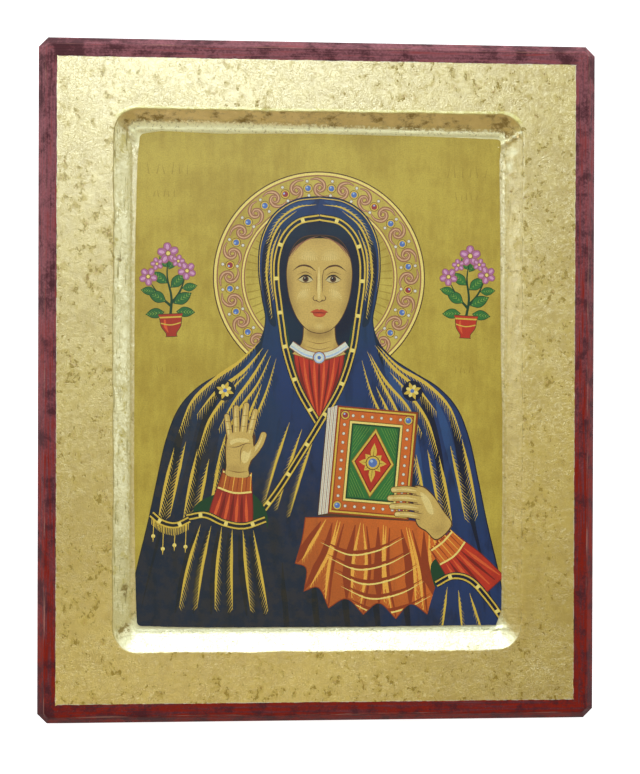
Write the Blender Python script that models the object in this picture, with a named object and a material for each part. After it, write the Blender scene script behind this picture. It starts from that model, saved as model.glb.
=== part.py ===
"""Icon panel: a gilded wooden board with a sunken field, and a thin picture sheet in it.

The panel lies on its back. The origin is the middle of the underside, +X runs to the
picture's right, +Y to its top and +Z out of its face. All sizes are in metres.
"""

import math

import bmesh
import bpy

# Board
BOARD_WIDTH = 0.2460
BOARD_LENGTH = 0.3000
BOARD_THICKNESS = 0.0200
CORNER_CUT = 0.0042
FRONT_CHAMFER = 0.0040
BACK_CHAMFER = 0.0008

# Sunken field: a border of full thickness, a rounded lip, a slope and a flat floor
SIDE_BORDER = 0.0332
END_BORDER = 0.0318
FIELD_DEPTH = 0.0055
SLOPE_WIDTH = 0.0070
FOOT_CORNER_RADIUS = 0.0040
LIP_RADIUS = 0.0015
FOOT_RADIUS = 0.0020

# Picture sheet, which lies on the floor of the field
SHEET_THICKNESS = 0.0005
SHEET_MARGIN = 0.0018
SHEET_CORNER_RADIUS = 0.0018
SHEET_GAP = 0.0003

# Smoothness of the curved stretches
CORNER_STEPS = 10
SHEET_CORNER_STEPS = 6
PROFILE_STEPS = 4
SMOOTH_ANGLE = math.radians(20)

FIELD_WIDTH = BOARD_WIDTH - 2 * SIDE_BORDER
FIELD_LENGTH = BOARD_LENGTH - 2 * END_BORDER
FIELD_FLOOR = BOARD_THICKNESS - FIELD_DEPTH
SLOPE_ANGLE = math.atan2(FIELD_DEPTH, SLOPE_WIDTH)


def clear_scene():
    """Remove the objects that the scene starts with."""
    for item in list(bpy.data.objects):
        bpy.data.objects.remove(item)


def finish_material(name, color, roughness, metallic):
    """Make a plain Principled material."""
    material = bpy.data.materials.new(name)
    material.use_nodes = True
    shader = material.node_tree.nodes["Principled BSDF"]
    shader.inputs["Base Color"].default_value = (*color, 1.0)
    shader.inputs["Roughness"].default_value = roughness
    shader.inputs["Metallic"].default_value = metallic
    return material


def add_piece(name, mesh, material):
    """Turn a finished bmesh into a named object with its material."""
    bmesh.ops.recalc_face_normals(mesh, faces=mesh.faces)
    data = bpy.data.meshes.new(name)
    mesh.to_mesh(data)
    mesh.free()
    data.materials.append(material)
    data.shade_smooth()
    data.set_sharp_from_angle(angle=SMOOTH_ANGLE)
    piece = bpy.data.objects.new(name, data)
    bpy.context.collection.objects.link(piece)
    return piece


def cut_corner_outline(inset):
    """Corners of the board's outline, moved inwards by inset on every side."""
    half_width = BOARD_WIDTH / 2 - inset
    half_length = BOARD_LENGTH / 2 - inset
    leg = CORNER_CUT - inset * (2 - math.sqrt(2))
    return [
        (half_width, half_length - leg),
        (half_width - leg, half_length),
        (leg - half_width, half_length),
        (-half_width, half_length - leg),
        (-half_width, leg - half_length),
        (leg - half_width, -half_length),
        (half_width - leg, -half_length),
        (half_width, leg - half_length),
    ]


def rounded_outline(width, length, radius, steps):
    """Points of a rectangle with rounded corners, anticlockwise from its right side."""
    points = []
    for quarter, (side_x, side_y) in enumerate(((1, 1), (-1, 1), (-1, -1), (1, -1))):
        centre_x = side_x * (width / 2 - radius)
        centre_y = side_y * (length / 2 - radius)
        for step in range(steps + 1):
            angle = (quarter + step / steps) * math.pi / 2
            x = centre_x + radius * math.cos(angle)
            y = centre_y + radius * math.sin(angle)
            points.append((x, y))
    return points


def add_ring(mesh, outline, height):
    """Add one closed ring of edges at a height, and return its edges."""
    verts = [mesh.verts.new((x, y, height)) for x, y in outline]
    return [mesh.edges.new((verts[i - 1], verts[i])) for i in range(len(verts))]


def bridge(mesh, rings):
    """Skin a list of rings that have the same number of points."""
    for lower, upper in zip(rings, rings[1:]):
        bmesh.ops.bridge_loops(mesh, edges=lower + upper)


def field_profile():
    """Inset from the field's rim and depth below the face, from the lip to the floor."""
    half_angle_tangent = math.tan(SLOPE_ANGLE / 2)
    lip_reach = LIP_RADIUS * half_angle_tangent
    foot_reach = FOOT_RADIUS * half_angle_tangent
    profile = []
    for step in range(PROFILE_STEPS + 1):
        angle = SLOPE_ANGLE * step / PROFILE_STEPS
        inset = LIP_RADIUS * math.sin(angle) - lip_reach
        profile.append((inset, LIP_RADIUS * (1 - math.cos(angle))))
    for step in range(PROFILE_STEPS, -1, -1):
        angle = SLOPE_ANGLE * step / PROFILE_STEPS
        inset = SLOPE_WIDTH + foot_reach - FOOT_RADIUS * math.sin(angle)
        profile.append((inset, FIELD_DEPTH - FOOT_RADIUS * (1 - math.cos(angle))))
    return profile


def field_outline(inset):
    """Outline of the sunken field at an inset from its rim."""
    radius = FOOT_CORNER_RADIUS + SLOPE_WIDTH - inset
    return rounded_outline(FIELD_WIDTH - 2 * inset, FIELD_LENGTH - 2 * inset, radius, CORNER_STEPS)


def build_board():
    """The wooden board: cut corners, chamfered front, and the sunken field."""
    mesh = bmesh.new()
    outer = [
        add_ring(mesh, cut_corner_outline(BACK_CHAMFER), 0.0),
        add_ring(mesh, cut_corner_outline(0.0), BACK_CHAMFER),
        add_ring(mesh, cut_corner_outline(0.0), BOARD_THICKNESS - FRONT_CHAMFER),
        add_ring(mesh, cut_corner_outline(FRONT_CHAMFER), BOARD_THICKNESS),
    ]
    inner = [
        add_ring(mesh, field_outline(inset), BOARD_THICKNESS - depth)
        for inset, depth in field_profile()
    ]
    bridge(mesh, outer)
    bridge(mesh, inner)
    bmesh.ops.triangle_fill(mesh, edges=outer[-1] + inner[0], use_beauty=True)
    bmesh.ops.contextual_create(mesh, geom=outer[0])
    bmesh.ops.contextual_create(mesh, geom=inner[-1])
    gilding = finish_material("gilded_board", (0.74, 0.67, 0.40), 0.45, 0.35)
    return add_piece("board", mesh, gilding)


def build_picture_sheet():
    """The thin sheet that carries the picture, laid on the field's floor."""
    mesh = bmesh.new()
    inset = 2 * (SLOPE_WIDTH + SHEET_MARGIN)
    outline = rounded_outline(
        FIELD_WIDTH - inset, FIELD_LENGTH - inset, SHEET_CORNER_RADIUS, SHEET_CORNER_STEPS
    )
    underside = FIELD_FLOOR + SHEET_GAP
    lower = add_ring(mesh, outline, underside)
    upper = add_ring(mesh, outline, underside + SHEET_THICKNESS)
    bridge(mesh, [lower, upper])
    bmesh.ops.contextual_create(mesh, geom=lower)
    bmesh.ops.contextual_create(mesh, geom=upper)
    paint = finish_material("painted_picture", (0.50, 0.40, 0.13), 0.50, 0.0)
    return add_piece("picture_sheet", mesh, paint)


def main():
    """Build the whole panel."""
    clear_scene()
    build_board()
    build_picture_sheet()


main()
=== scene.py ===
"""Looks of the icon panel: a worn gilded board with maroon edges, and a painted picture sheet."""

import math

import bmesh
import bpy
import numpy as np
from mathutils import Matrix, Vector, noise
from mathutils.geometry import delaunay_2d_cdt


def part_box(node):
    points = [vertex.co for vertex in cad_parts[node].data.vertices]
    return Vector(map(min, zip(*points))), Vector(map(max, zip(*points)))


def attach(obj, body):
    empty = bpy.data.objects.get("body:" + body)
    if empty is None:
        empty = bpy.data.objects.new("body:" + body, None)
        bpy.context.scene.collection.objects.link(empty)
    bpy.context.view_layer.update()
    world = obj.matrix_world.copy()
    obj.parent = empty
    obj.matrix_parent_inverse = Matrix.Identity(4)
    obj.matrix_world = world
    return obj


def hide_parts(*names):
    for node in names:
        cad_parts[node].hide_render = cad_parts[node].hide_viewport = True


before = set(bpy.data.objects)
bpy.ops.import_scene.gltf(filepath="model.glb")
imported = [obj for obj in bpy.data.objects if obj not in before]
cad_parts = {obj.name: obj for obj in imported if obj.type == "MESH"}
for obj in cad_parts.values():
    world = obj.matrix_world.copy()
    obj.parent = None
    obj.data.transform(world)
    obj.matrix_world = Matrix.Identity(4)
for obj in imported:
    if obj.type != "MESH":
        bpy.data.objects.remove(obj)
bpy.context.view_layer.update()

# Sizes are worked in millimetres and turned into metres when a mesh is finished
MM = 0.001
BOARD_LOW, BOARD_HIGH = (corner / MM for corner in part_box("board"))
SHEET_LOW, SHEET_HIGH = (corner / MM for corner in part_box("picture_sheet"))
HALF_WIDTH, HALF_LENGTH, THICKNESS = BOARD_HIGH
SHEET_HALF_WIDTH, SHEET_HALF_LENGTH, SHEET_TOP = SHEET_HIGH
SHEET_UNDER = SHEET_LOW.z

# Board
CORNER_CUT = 4.2
CHAMFER = 4.0
BACK_CHAMFER = 0.8
PAINT_BAND = 9.0
SLOPE_WIDTH = 7.0
SHEET_MARGIN = 1.8
FOOT_CORNER = 4.0
FLOOR_GAP = 0.3
FIELD_FLOOR = SHEET_UNDER - FLOOR_GAP
RIM_HALF_WIDTH = SHEET_HALF_WIDTH + SHEET_MARGIN + SLOPE_WIDTH
RIM_HALF_LENGTH = SHEET_HALF_LENGTH + SHEET_MARGIN + SLOPE_WIDTH
BORDER = HALF_WIDTH - RIM_HALF_WIDTH
FOOT = BORDER + SLOPE_WIDTH

# Camera, from a fit to the photographed outline
PHOTO_WIDTH, PHOTO_HEIGHT = 640, 774
FOCAL_PIXELS = 1000.0
SENSOR = 36.0
CAMERA_PLACE = (-0.01926, -0.00103, 0.45763)
CAMERA_TURN = (-0.003218, -0.044452, 0.003370)


# Shader maths

class Wire:
    """An output of a shader node. Arithmetic on it adds Math nodes."""

    def __init__(self, finish, socket):
        self.finish = finish
        self.socket = socket

    def __add__(self, other):
        return self.finish.math("ADD", self, other)

    __radd__ = __add__

    def __sub__(self, other):
        return self.finish.math("SUBTRACT", self, other)

    def __rsub__(self, other):
        return self.finish.math("SUBTRACT", other, self)

    def __mul__(self, other):
        return self.finish.math("MULTIPLY", self, other)

    __rmul__ = __mul__

    def __abs__(self):
        return self.finish.math("ABSOLUTE", self)


class Finish:
    """One procedural material and the nodes in it."""

    def __init__(self, name):
        self.material = bpy.data.materials.new(name)
        self.material.use_nodes = True
        self.tree = self.material.node_tree
        self.tree.nodes.clear()
        place = self.node("ShaderNodeTexCoord", {}, {}, "Object")
        self.place = self.vector("SCALE", place, scale=1 / MM)
        self.x, self.y, self.z = self.split(self.place)

    def node(self, kind, settings, sockets, output=0):
        """Add a node: its settings first, then its sockets' values or links."""
        node = self.tree.nodes.new(kind)
        for name, value in settings.items():
            setattr(node, name, value)
        for name, value in sockets.items():
            if isinstance(value, Wire):
                self.tree.links.new(value.socket, node.inputs[name])
            else:
                node.inputs[name].default_value = value
        return Wire(self, node.outputs[output]) if node.outputs else None

    def math(self, operation, first, second=0.0):
        return self.node("ShaderNodeMath", {"operation": operation}, {0: first, 1: second})

    def vector(self, operation, first, second=None, scale=None):
        sockets = {0: first}
        if second is not None:
            sockets[1] = second
        if scale is not None:
            sockets["Scale"] = scale
        return self.node("ShaderNodeVectorMath", {"operation": operation}, sockets)

    def split(self, vector):
        """The three parts of a vector."""
        first = self.node("ShaderNodeSeparateXYZ", {}, {0: vector})
        outputs = first.socket.node.outputs
        return [Wire(self, outputs[i]) for i in range(3)]

    def noise(self, size, detail=2.0, roughness=0.5, stretch=(1, 1, 1), shift=0.0, distortion=0.0):
        """Noise from 0 to 1 whose features measure about size millimetres."""
        place = self.vector("MULTIPLY", self.place, stretch)
        place = self.vector("ADD", place, (shift, shift * 1.7, shift * 2.3))
        sockets = {
            "Vector": place, "Scale": 1.0 / size, "Detail": detail,
            "Roughness": roughness, "Distortion": distortion,
        }
        return self.node("ShaderNodeTexNoise", {}, sockets)

    def step(self, value, low, high):
        """A soft step from 0 at low to 1 at high."""
        settings = {"interpolation_type": "SMOOTHSTEP"}
        sockets = {"Value": value, "From Min": low, "From Max": high}
        return self.node("ShaderNodeMapRange", settings, sockets)

    def mix(self, share, first, second):
        """A colour between two colours."""
        sockets = {0: share, 6: self.color(first), 7: self.color(second)}
        return self.node("ShaderNodeMix", {"data_type": "RGBA"}, sockets, 2)

    @staticmethod
    def color(value):
        return value if isinstance(value, Wire) else (*value, 1.0)

    def bump(self, height, strength, distance):
        sockets = {"Height": height, "Strength": strength, "Distance": distance * MM}
        return self.node("ShaderNodeBump", {}, sockets)

    def shader(self, color, roughness, metallic, normal, **constants):
        """A Principled surface."""
        sockets = {
            "Base Color": self.color(color), "Roughness": roughness,
            "Metallic": metallic, "Normal": normal, **constants,
        }
        return self.node("ShaderNodeBsdfPrincipled", {}, sockets)

    def close(self, shader):
        """Close the tree with a shader."""
        self.node("ShaderNodeOutputMaterial", {}, {"Surface": shader})
        return self.material


# Board finish

GOLD_PALE = (0.665, 0.480, 0.100)
GOLD_MID = (0.530, 0.358, 0.054)
# Colour of the painted highlights along the leaf's crinkles
CRINKLE_HIGHLIGHT = (0.90, 0.70, 0.22)
GOLD_STAIN = (0.47, 0.325, 0.045)
GOLD_WORN = (0.235, 0.160, 0.036)
RUST = (0.52, 0.26, 0.09)
OCHRE = (0.62, 0.37, 0.085)
# Near-white leaf for painted highlights on the margin, the foot's grit, the ridge and the bottom slope
HIGHLIGHT_LEAF = (0.98, 0.89, 0.52)
# Colour of the painted highlight along the top rim
TOP_RIM_HIGHLIGHT = (0.90, 0.78, 0.22)
GESSO = (0.62, 0.52, 0.40)
SMUDGE = (0.155, 0.088, 0.020)
GREY_LEAF = (0.225, 0.175, 0.065)
PALE_SLOPE = (0.58, 0.45, 0.095)
# Tint of the painted warm light on the lower part of the leaf
WARM_LIGHT_TINT = (0.97, 0.875, 0.49)
MAROON_RED = (0.215, 0.0150, 0.0078)
# Purple-grey of the painted sheen on the maroon towards the top left, also in random patches
MAROON_SHEEN_PURPLE = (0.275, 0.094, 0.110)
MAROON_DARK = (0.052, 0.014, 0.018)
MAROON_RUBBED = (0.44, 0.19, 0.14)
WOOD_PALE = (0.42, 0.26, 0.13)
WOOD_DARK = (0.20, 0.105, 0.045)
MATT_ROUGHNESS = 0.45
LEAF_ROUGHNESS = 0.31
LEAF_METAL = 0.15
MATT_SHEEN = {"IOR": 1.5, "Specular IOR Level": 0.03}
LEAF_SHEEN = {"IOR": 2.6, "Specular IOR Level": 0.62}
# Brown smudges on the slope: middle, two radii and amount
SLOPE_SMUDGES = (
    (-83.5, 112.5, 5.0, 3.6, 0.9), (-76.0, 114.5, 9.0, 3.4, 0.6), (-64.0, 113.6, 6.0, 3.0, 0.35),
    (-80.5, 108.0, 2.6, 3.0, 0.8), (80.5, 114.5, 8.0, 3.4, 0.6), (83.0, 110.6, 3.6, 2.6, 0.4),
    (-85.2, -109.5, 4.4, 4.6, 1.5), (-85.2, -92.0, 3.0, 5.0, 1.2), (82.0, -112.0, 4.0, 3.0, 0.3),
    (48.0, 114.4, 5.0, 2.6, 0.35), (6.0, 113.8, 7.0, 2.6, 0.3), (-36.0, 114.0, 6.0, 2.0, 0.35),
)
# Painted highlights on the ridge in the upper right corner: middle, two radii and amount
RIDGE_HIGHLIGHTS = (
    (89.0, 110.4, 1.9, 1.2, 0.9), (86.6, 109.0, 1.9, 1.3, 1.0), (84.2, 107.6, 1.9, 1.3, 1.0),
    (81.8, 106.2, 1.9, 1.4, 0.4), (85.4, 102.4, 3.4, 3.0, 0.6), (84.4, 96.0, 2.4, 4.0, 0.6),
)


def soft_spots(finish, place, height, spots):
    """The sum of soft oval patches, each with a middle, two radii and an amount."""
    total = 0.0
    for x, y, across, up, amount in spots:
        reach = finish.vector("SUBTRACT", place, (x, y, height))
        reach = finish.vector("MULTIPLY", reach, (1 / across, 1 / up, 0.0))
        away = finish.node("ShaderNodeVectorMath", {"operation": "LENGTH"}, {0: reach}, 1)
        total = total + finish.step(away, 1.0, 0.0) * amount
    return total


def edge_distance(finish):
    """Distance from the board's outline, whether its nearest side is the left or right, and
    how near a corner it is."""
    side = HALF_WIDTH - abs(finish.x)
    end = HALF_LENGTH - abs(finish.y)
    nearest = finish.math("MINIMUM", side, end)
    on_side = finish.step(end - side, -0.2, 0.2)
    return nearest, on_side, finish.step(side + end, 46.0, 8.0)


def gold_leaf(finish, on_slope):
    """Colour, height and wear of the crinkled, stained gold leaf, calmer at the top and on the slope, with
    painted crinkle highlights, painted warm light towards the bottom and painted shade in the lower right
    corner.
    """
    cloud = finish.noise(38.0, 3.0, 0.55)
    mottle = finish.noise(4.2, 5.0, 0.62, shift=31.0)
    streak = finish.noise(1.6, 4.0, 0.6, stretch=(1, 0.09, 1), shift=7.0)
    # Crinkles are the thin lines where a curled noise crosses its middle value
    curls = finish.noise(1.9, 3.0, 0.6, stretch=(0.85, 1, 1), shift=45.0, distortion=1.6)
    crinkle = finish.step(abs(curls - 0.5), 0.085, 0.0)
    near_end = finish.step(finish.y, -104.0, -118.0)
    patchy = finish.step(finish.noise(13.0, 3.0, 0.6, shift=50.0), 0.36, 0.62)
    tone = cloud * 0.4 + mottle * 0.6 + streak * 0.15
    color = finish.mix(finish.step(tone, 0.42, 0.74), GOLD_MID, GOLD_PALE)
    # Painted highlights along the crinkles, strongest near the bottom end
    color = finish.mix(crinkle * (patchy * 0.12 + 0.11 + near_end * 0.16), color, CRINKLE_HIGHLIGHT)
    # Stains gather in clusters, with small worn marks in them
    calm = finish.step(finish.y, 104.0, 122.0) * (finish.step(finish.x, 70.0, 0.0) * 0.5 + 0.5)
    calm = finish.math("MAXIMUM", calm, on_slope)
    clusters = finish.step(finish.noise(21.0, 3.0, 0.6, shift=90.0), 0.38, 0.62) - calm * 0.5
    spots = finish.noise(3.6, 4.0, 0.62, stretch=(1, 0.8, 1), shift=120.0, distortion=0.3)
    stain = finish.step(spots + clusters * 0.09, 0.545, 0.70)
    marks = finish.noise(1.35, 3.0, 0.6, stretch=(1, 0.75, 1), shift=160.0) - calm * 0.03
    # Painted light: the dark marks fade towards the upper left, where the sheen is brightest
    faint = finish.step(finish.y - finish.x, 90.0, 230.0) * 0.35
    core = finish.step(marks + stain * 0.18, 0.645, 0.745) * (1 - faint)
    rusty = finish.step(finish.noise(2.2, 3.0, 0.6, shift=175.0), 0.56, 0.66) * stain
    color = finish.mix(stain * 0.6, color, GOLD_STAIN)
    color = finish.mix(rusty * 0.4, color, RUST)
    color = finish.mix(core * 0.68, color, GOLD_WORN)
    # Painted light: the leaf is tinted warmer towards the bottom, as under a warm lamp, and painted shade
    # dims the lower right corner
    low = finish.step(finish.y - finish.x * 0.35, 110.0, -160.0)
    color = finish.vector("MULTIPLY", color, finish.mix(low, (1.0, 1.0, 1.0), WARM_LIGHT_TINT))
    corner_shade = finish.step(finish.x - finish.y, 120.0, 260.0)
    color = finish.mix(corner_shade * 0.18, color, (0.0, 0.0, 0.0))
    height = mottle * 0.7 + streak * 0.15 + crinkle * (patchy * 0.14 + 0.14 + near_end * 0.16) - core * 0.3
    worn = finish.math("MAXIMUM", stain * 0.5, core)
    return color, height, worn


def field_wear_and_highlights(finish, color, reach, on_slope):
    """The leaf's marks round the sunken field: rim lines, smudges, scratches and a rough foot, with painted
    highlights on the margin, the foot's grit, the corner ridge, the top rim and the bottom slope.
    """
    side = finish.step(abs(finish.x) - abs(finish.y) * 0.8, -6.0, 0.0)
    # Grey scratches along the side slopes
    scratch = finish.noise(1.1, 3.0, 0.7, stretch=(1, 0.08, 1), shift=610.0)
    bands = finish.noise(3.4, 2.0, stretch=(1, 0.03, 1), shift=615.0)
    grey = finish.step(scratch * 0.75 + bands * 0.25, 0.55, 0.61)
    left = finish.step(finish.x, 0.0, -1.0)
    color = finish.mix(on_slope * side * left * 0.75, color, PALE_SLOPE)
    grey = on_slope * side * grey * (left * 0.35 + 0.3)
    color = finish.mix(grey, color, GREY_LEAF)
    # The top slope is tinted ochre, with brown smudges on it and in the corners
    top = finish.step(finish.y, 96.0, 106.0) * (1 - side)
    color = finish.mix(top * on_slope * 0.4, color, OCHRE)
    smudged = finish.noise(5.0, 6.0, 0.74, stretch=(0.7, 1, 1), shift=620.0)
    spots = soft_spots(finish, finish.place, 0.0, SLOPE_SMUDGES)
    brown = smudged * (spots * 0.8 + 1.3) + top * 0.11 - spots * 0.08 - 0.15
    brown = finish.step(brown, 0.58, 0.82) * on_slope
    color = finish.mix(brown * 0.75, color, SMUDGE)
    # Painted highlights on the corner ridge
    ridge = soft_spots(finish, finish.place, 0.0, RIDGE_HIGHLIGHTS) * on_slope
    # A gritty foot that is widest along the top, with a painted highlight on the margin beside it and
    # painted glints on its grit
    grit = finish.noise(1.25, 3.0, 0.7, shift=630.0)
    wide = top * finish.step(finish.x, 75.0, -60.0)
    foot = finish.step(abs(reach - FOOT - 0.1 + wide * 0.9), 1.9 + wide, 0.9 + wide) * (1 - side * 0.75)
    margin = finish.step(reach + wide * 2.3 + grit * 0.8, FOOT - 0.4, FOOT + 0.9)
    margin = finish.math("MAXIMUM", margin * (0.9 - side * 0.75), ridge * 0.85)
    # Painted highlight on the margin and the corner ridge
    color = finish.mix(margin, color, HIGHLIGHT_LEAF)
    # Painted glints on the foot's grit
    color = finish.mix(foot * finish.step(grit, 0.50, 0.60) * 0.8, color, HIGHLIGHT_LEAF)
    color = finish.mix(foot * finish.step(grit, 0.44, 0.34) * 0.55, color, GOLD_WORN)
    # Worn lines along the side rims, and a painted highlight along the top rim
    dashes = finish.step(finish.noise(3.2, 3.0, 0.7, stretch=(1, 0.5, 1), shift=640.0), 0.46, 0.54)
    line = finish.step(abs(reach - BORDER - 0.05), 0.26, 0.05) * side
    line = line * finish.math("MAXIMUM", dashes * 0.7, left * 0.5)
    color = finish.mix(line, color, GOLD_WORN)
    bright = finish.step(abs(reach - BORDER + 0.7), 0.75, 0.3) * (1 - side) * finish.step(finish.y, 0.0, 1.0)
    color = finish.mix(bright * 0.7, color, TOP_RIM_HIGHLIGHT)
    # Painted glare: the bottom slope, which faces the light, is painted as bright leaf
    glare = (1 - side) * on_slope * finish.step(finish.y, 0.0, -1.0) * (1 - brown)
    color = finish.mix(glare * 0.75, color, HIGHLIGHT_LEAF)
    wear = finish.math("MAXIMUM", brown * (1 - glare), finish.math("MAXIMUM", line, grey * 1.4))
    wear = finish.math("MAXIMUM", wear, top * finish.math("MAXIMUM", on_slope * 0.35, margin))
    return color, foot * grit, wear, glare


def edge_paint(finish, nearest, on_side, corner):
    """Colour and height of the brushed maroon paint on the edges, with a painted sheen that makes it cooler
    towards the top left.
    """
    along_side = finish.noise(1.0, 4.0, 0.62, stretch=(1, 0.035, 1), shift=200.0)
    along_end = finish.noise(1.0, 4.0, 0.62, stretch=(0.035, 1, 1), shift=210.0)
    brush = along_end + (along_side - along_end) * on_side
    blotch = finish.noise(10.0, 5.0, 0.65, shift=230.0)
    fine = finish.noise(1.1, 4.0, 0.65, shift=240.0)
    # Painted sheen: the paint turns purple-grey towards the top left, mixed with patches that follow its
    # brush marks and blotches
    sheen_ramp = finish.step(finish.y - finish.x * 0.27, -165.0, 165.0)
    sheen_and_patches = finish.step(sheen_ramp * 0.62 + brush * 2.0 + blotch * 0.5 - 0.6, 0.58, 1.32)
    color = finish.mix(sheen_and_patches, MAROON_RED, MAROON_SHEEN_PURPLE)
    color = finish.mix(finish.step(brush * 0.6 + fine * 0.4, 0.455, 0.565) * 0.5, color, MAROON_DARK)
    outer = finish.step(nearest, 8.0, 1.0)
    dark = finish.step(blotch + brush * 0.25 + fine * 0.2 + outer * 0.025 + corner * 0.10, 0.672, 0.900)
    color = finish.mix(dark * 0.85, color, MAROON_DARK)
    color = finish.mix(finish.step(fine, 0.56, 0.70) * 0.12, color, MAROON_RUBBED)
    rubbed = finish.step(abs(nearest - CHAMFER), 0.55, 0.15) * finish.step(brush, 0.50, 0.66)
    chips = finish.step(finish.noise(1.2, 3.0, 0.6, shift=250.0), 0.76, 0.80) * 0.6
    color = finish.mix(finish.math("MAXIMUM", rubbed * 0.7, chips), color, MAROON_RUBBED)
    height = brush * 0.8 + fine * 0.35
    return color, height


def bare_wood(finish):
    """Colour and height of the plain wood at the back."""
    grain = finish.noise(2.2, 5.0, 0.62, stretch=(1, 0.03, 1), shift=300.0, distortion=0.3)
    rings = finish.noise(14.0, 3.0, 0.5, stretch=(1, 0.08, 1), shift=320.0)
    color = finish.mix(finish.step(grain * 0.6 + rings * 0.5, 0.40, 0.72), WOOD_DARK, WOOD_PALE)
    return color, grain


def board_finish():
    """Gold leaf on the face, maroon paint round the edges and bare wood behind."""
    finish = Finish("gilded_board")
    nearest, on_side, corner = edge_distance(finish)
    reach = finish.node("ShaderNodeAttribute", {"attribute_name": "reach"}, {}, 2)
    on_slope = finish.step(reach, BORDER - 0.1, BORDER + 0.4) * finish.step(reach, FOOT + 0.6, FOOT - 0.8)
    gold, gold_height, worn = gold_leaf(finish, on_slope)
    gold, grit, wear, glare = field_wear_and_highlights(finish, gold, reach, on_slope)
    worn = finish.math("MAXIMUM", worn * (1 - glare * 0.8), wear)
    paint, paint_height = edge_paint(finish, nearest, on_side, corner)
    wood, wood_height = bare_wood(finish)
    # The paint ends in an uneven line, with pale gesso showing along it
    wobble = finish.noise(9.0, 3.0, 0.6, shift=400.0) * 0.7 + finish.noise(0.9, 3.0, shift=410.0) * 0.22
    right = finish.step(finish.x, -1.0, 1.0)
    edge = nearest + wobble - PAINT_BAND - on_side * (right - 0.1) - (1 - on_side) * 0.5
    painted = finish.step(edge, 0.52, 0.38)
    patches = finish.step(finish.noise(2.5, 3.0, shift=430.0), 0.40, 0.6)
    pale = finish.step(abs(edge - 0.50), 0.30, 0.08) * patches
    ragged = nearest + finish.noise(5.0, 4.0, 0.65, shift=420.0) * 4.0
    behind = finish.step(finish.z, 0.35, 0.15) * finish.step(ragged, 3.4, 3.7)
    face = finish.mix(pale * 0.6, finish.mix(painted, gold, paint), GESSO)
    color = finish.mix(behind, face, wood)
    gilded = (1 - painted) * (1 - behind)
    leaf_height = gold_height + grit * 1.6
    height = leaf_height * gilded + paint_height * painted * 1.2 + wood_height * behind
    normal = finish.bump(height, 0.6, 0.24)
    matt = finish.shader(color, MATT_ROUGHNESS, 0.0, normal, **MATT_SHEEN)
    leaf = finish.shader(color, LEAF_ROUGHNESS + worn * 0.2, LEAF_METAL, normal, **LEAF_SHEEN)
    mixed = finish.node("ShaderNodeMixShader", {}, {0: gilded * (1 - worn * 0.85), 1: matt, 2: leaf})
    return finish.close(mixed)


# Board skin

SIDE_POINTS = 176
END_POINTS = 136
CORNER_POINTS = 14
RING_POINTS = 2 * (SIDE_POINTS + END_POINTS) + 4 * CORNER_POINTS


def corner_points(half_width, half_length, size, rounded):
    """The four corners of an outline, each a row of points, anticlockwise from the right."""
    corners = []
    for quarter, (side_x, side_y) in enumerate(((1, 1), (-1, 1), (-1, -1), (1, -1))):
        share = np.linspace(0, 1, CORNER_POINTS)
        angle = (quarter + share) * math.pi / 2
        if rounded:
            reach = size * np.stack([np.cos(angle), np.sin(angle)], 1)
        else:
            first = np.array([math.cos(quarter * math.pi / 2), math.sin(quarter * math.pi / 2)])
            last = np.array([-first[1], first[0]])
            reach = size * (first + share[:, None] * (last - first))
        centre = np.array([side_x * (half_width - size), side_y * (half_length - size)])
        corners.append(centre + reach)
    return corners


def outline(half_width, half_length, size, rounded):
    """A whole outline of RING_POINTS points."""
    corners = corner_points(half_width, half_length, size, rounded)
    parts = []
    for quarter, corner in enumerate(corners):
        count = END_POINTS if quarter % 2 == 0 else SIDE_POINTS
        following = corners[(quarter + 1) % 4]
        share = (np.arange(count) + 1)[:, None] / (count + 1)
        parts.append(corner)
        parts.append(corner[-1] + share * (following[0] - corner[-1]))
    return np.concatenate(parts)


def outer_outline(inset):
    cut = CORNER_CUT - inset * (2 - math.sqrt(2))
    return outline(HALF_WIDTH - inset, HALF_LENGTH - inset, max(cut, 0.05), False)


def field_outline(inset):
    radius = FOOT_CORNER + SLOPE_WIDTH - inset
    return outline(RIM_HALF_WIDTH - inset, RIM_HALF_LENGTH - inset, radius, True)


def ring_at(reach):
    """The board's outline at a reach inwards from its edge, turning into the field's outline."""
    if reach <= CHAMFER:
        return outer_outline(reach)
    if reach >= BORDER:
        return field_outline(reach - BORDER)
    share = (reach - CHAMFER) / (BORDER - CHAMFER)
    return outer_outline(CHAMFER) * (1 - share) + field_outline(0.0) * share


def eased(points, eases, spacing):
    """A polyline with its corners eased and its straight stretches divided."""
    points = [np.array(p, float) for p in points]
    line = [points[0]]
    for before, corner, after, ease in zip(points, points[1:], points[2:], eases):
        start = corner + (before - corner) / np.linalg.norm(before - corner) * ease
        end = corner + (after - corner) / np.linalg.norm(after - corner) * ease
        line.append(start)
        for share in (0.25, 0.5, 0.75):
            line.append(start * (1 - share) ** 2 + corner * 2 * share * (1 - share) + end * share ** 2)
        line.append(end)
    line.append(points[-1])
    divided = [line[0]]
    for first, last in zip(line, line[1:]):
        count = max(1, round(float(np.linalg.norm(last - first)) / spacing))
        divided += [first + (last - first) * (i + 1) / count for i in range(count)]
    return divided


def board_profile():
    """Reach inwards and height of each ring, from the back, round the edge, to the floor."""
    points = [
        (9.0, 0.0), (BACK_CHAMFER, 0.0), (0.0, BACK_CHAMFER), (0.0, THICKNESS - CHAMFER),
        (CHAMFER, THICKNESS), (BORDER, THICKNESS), (BORDER + SLOPE_WIDTH, FIELD_FLOOR),
        (BORDER + SLOPE_WIDTH + SHEET_MARGIN + 1.5, FIELD_FLOOR),
    ]
    return eased(points, (0.35, 0.35, 0.6, 0.6, 0.5, 0.8), 0.9)


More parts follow.
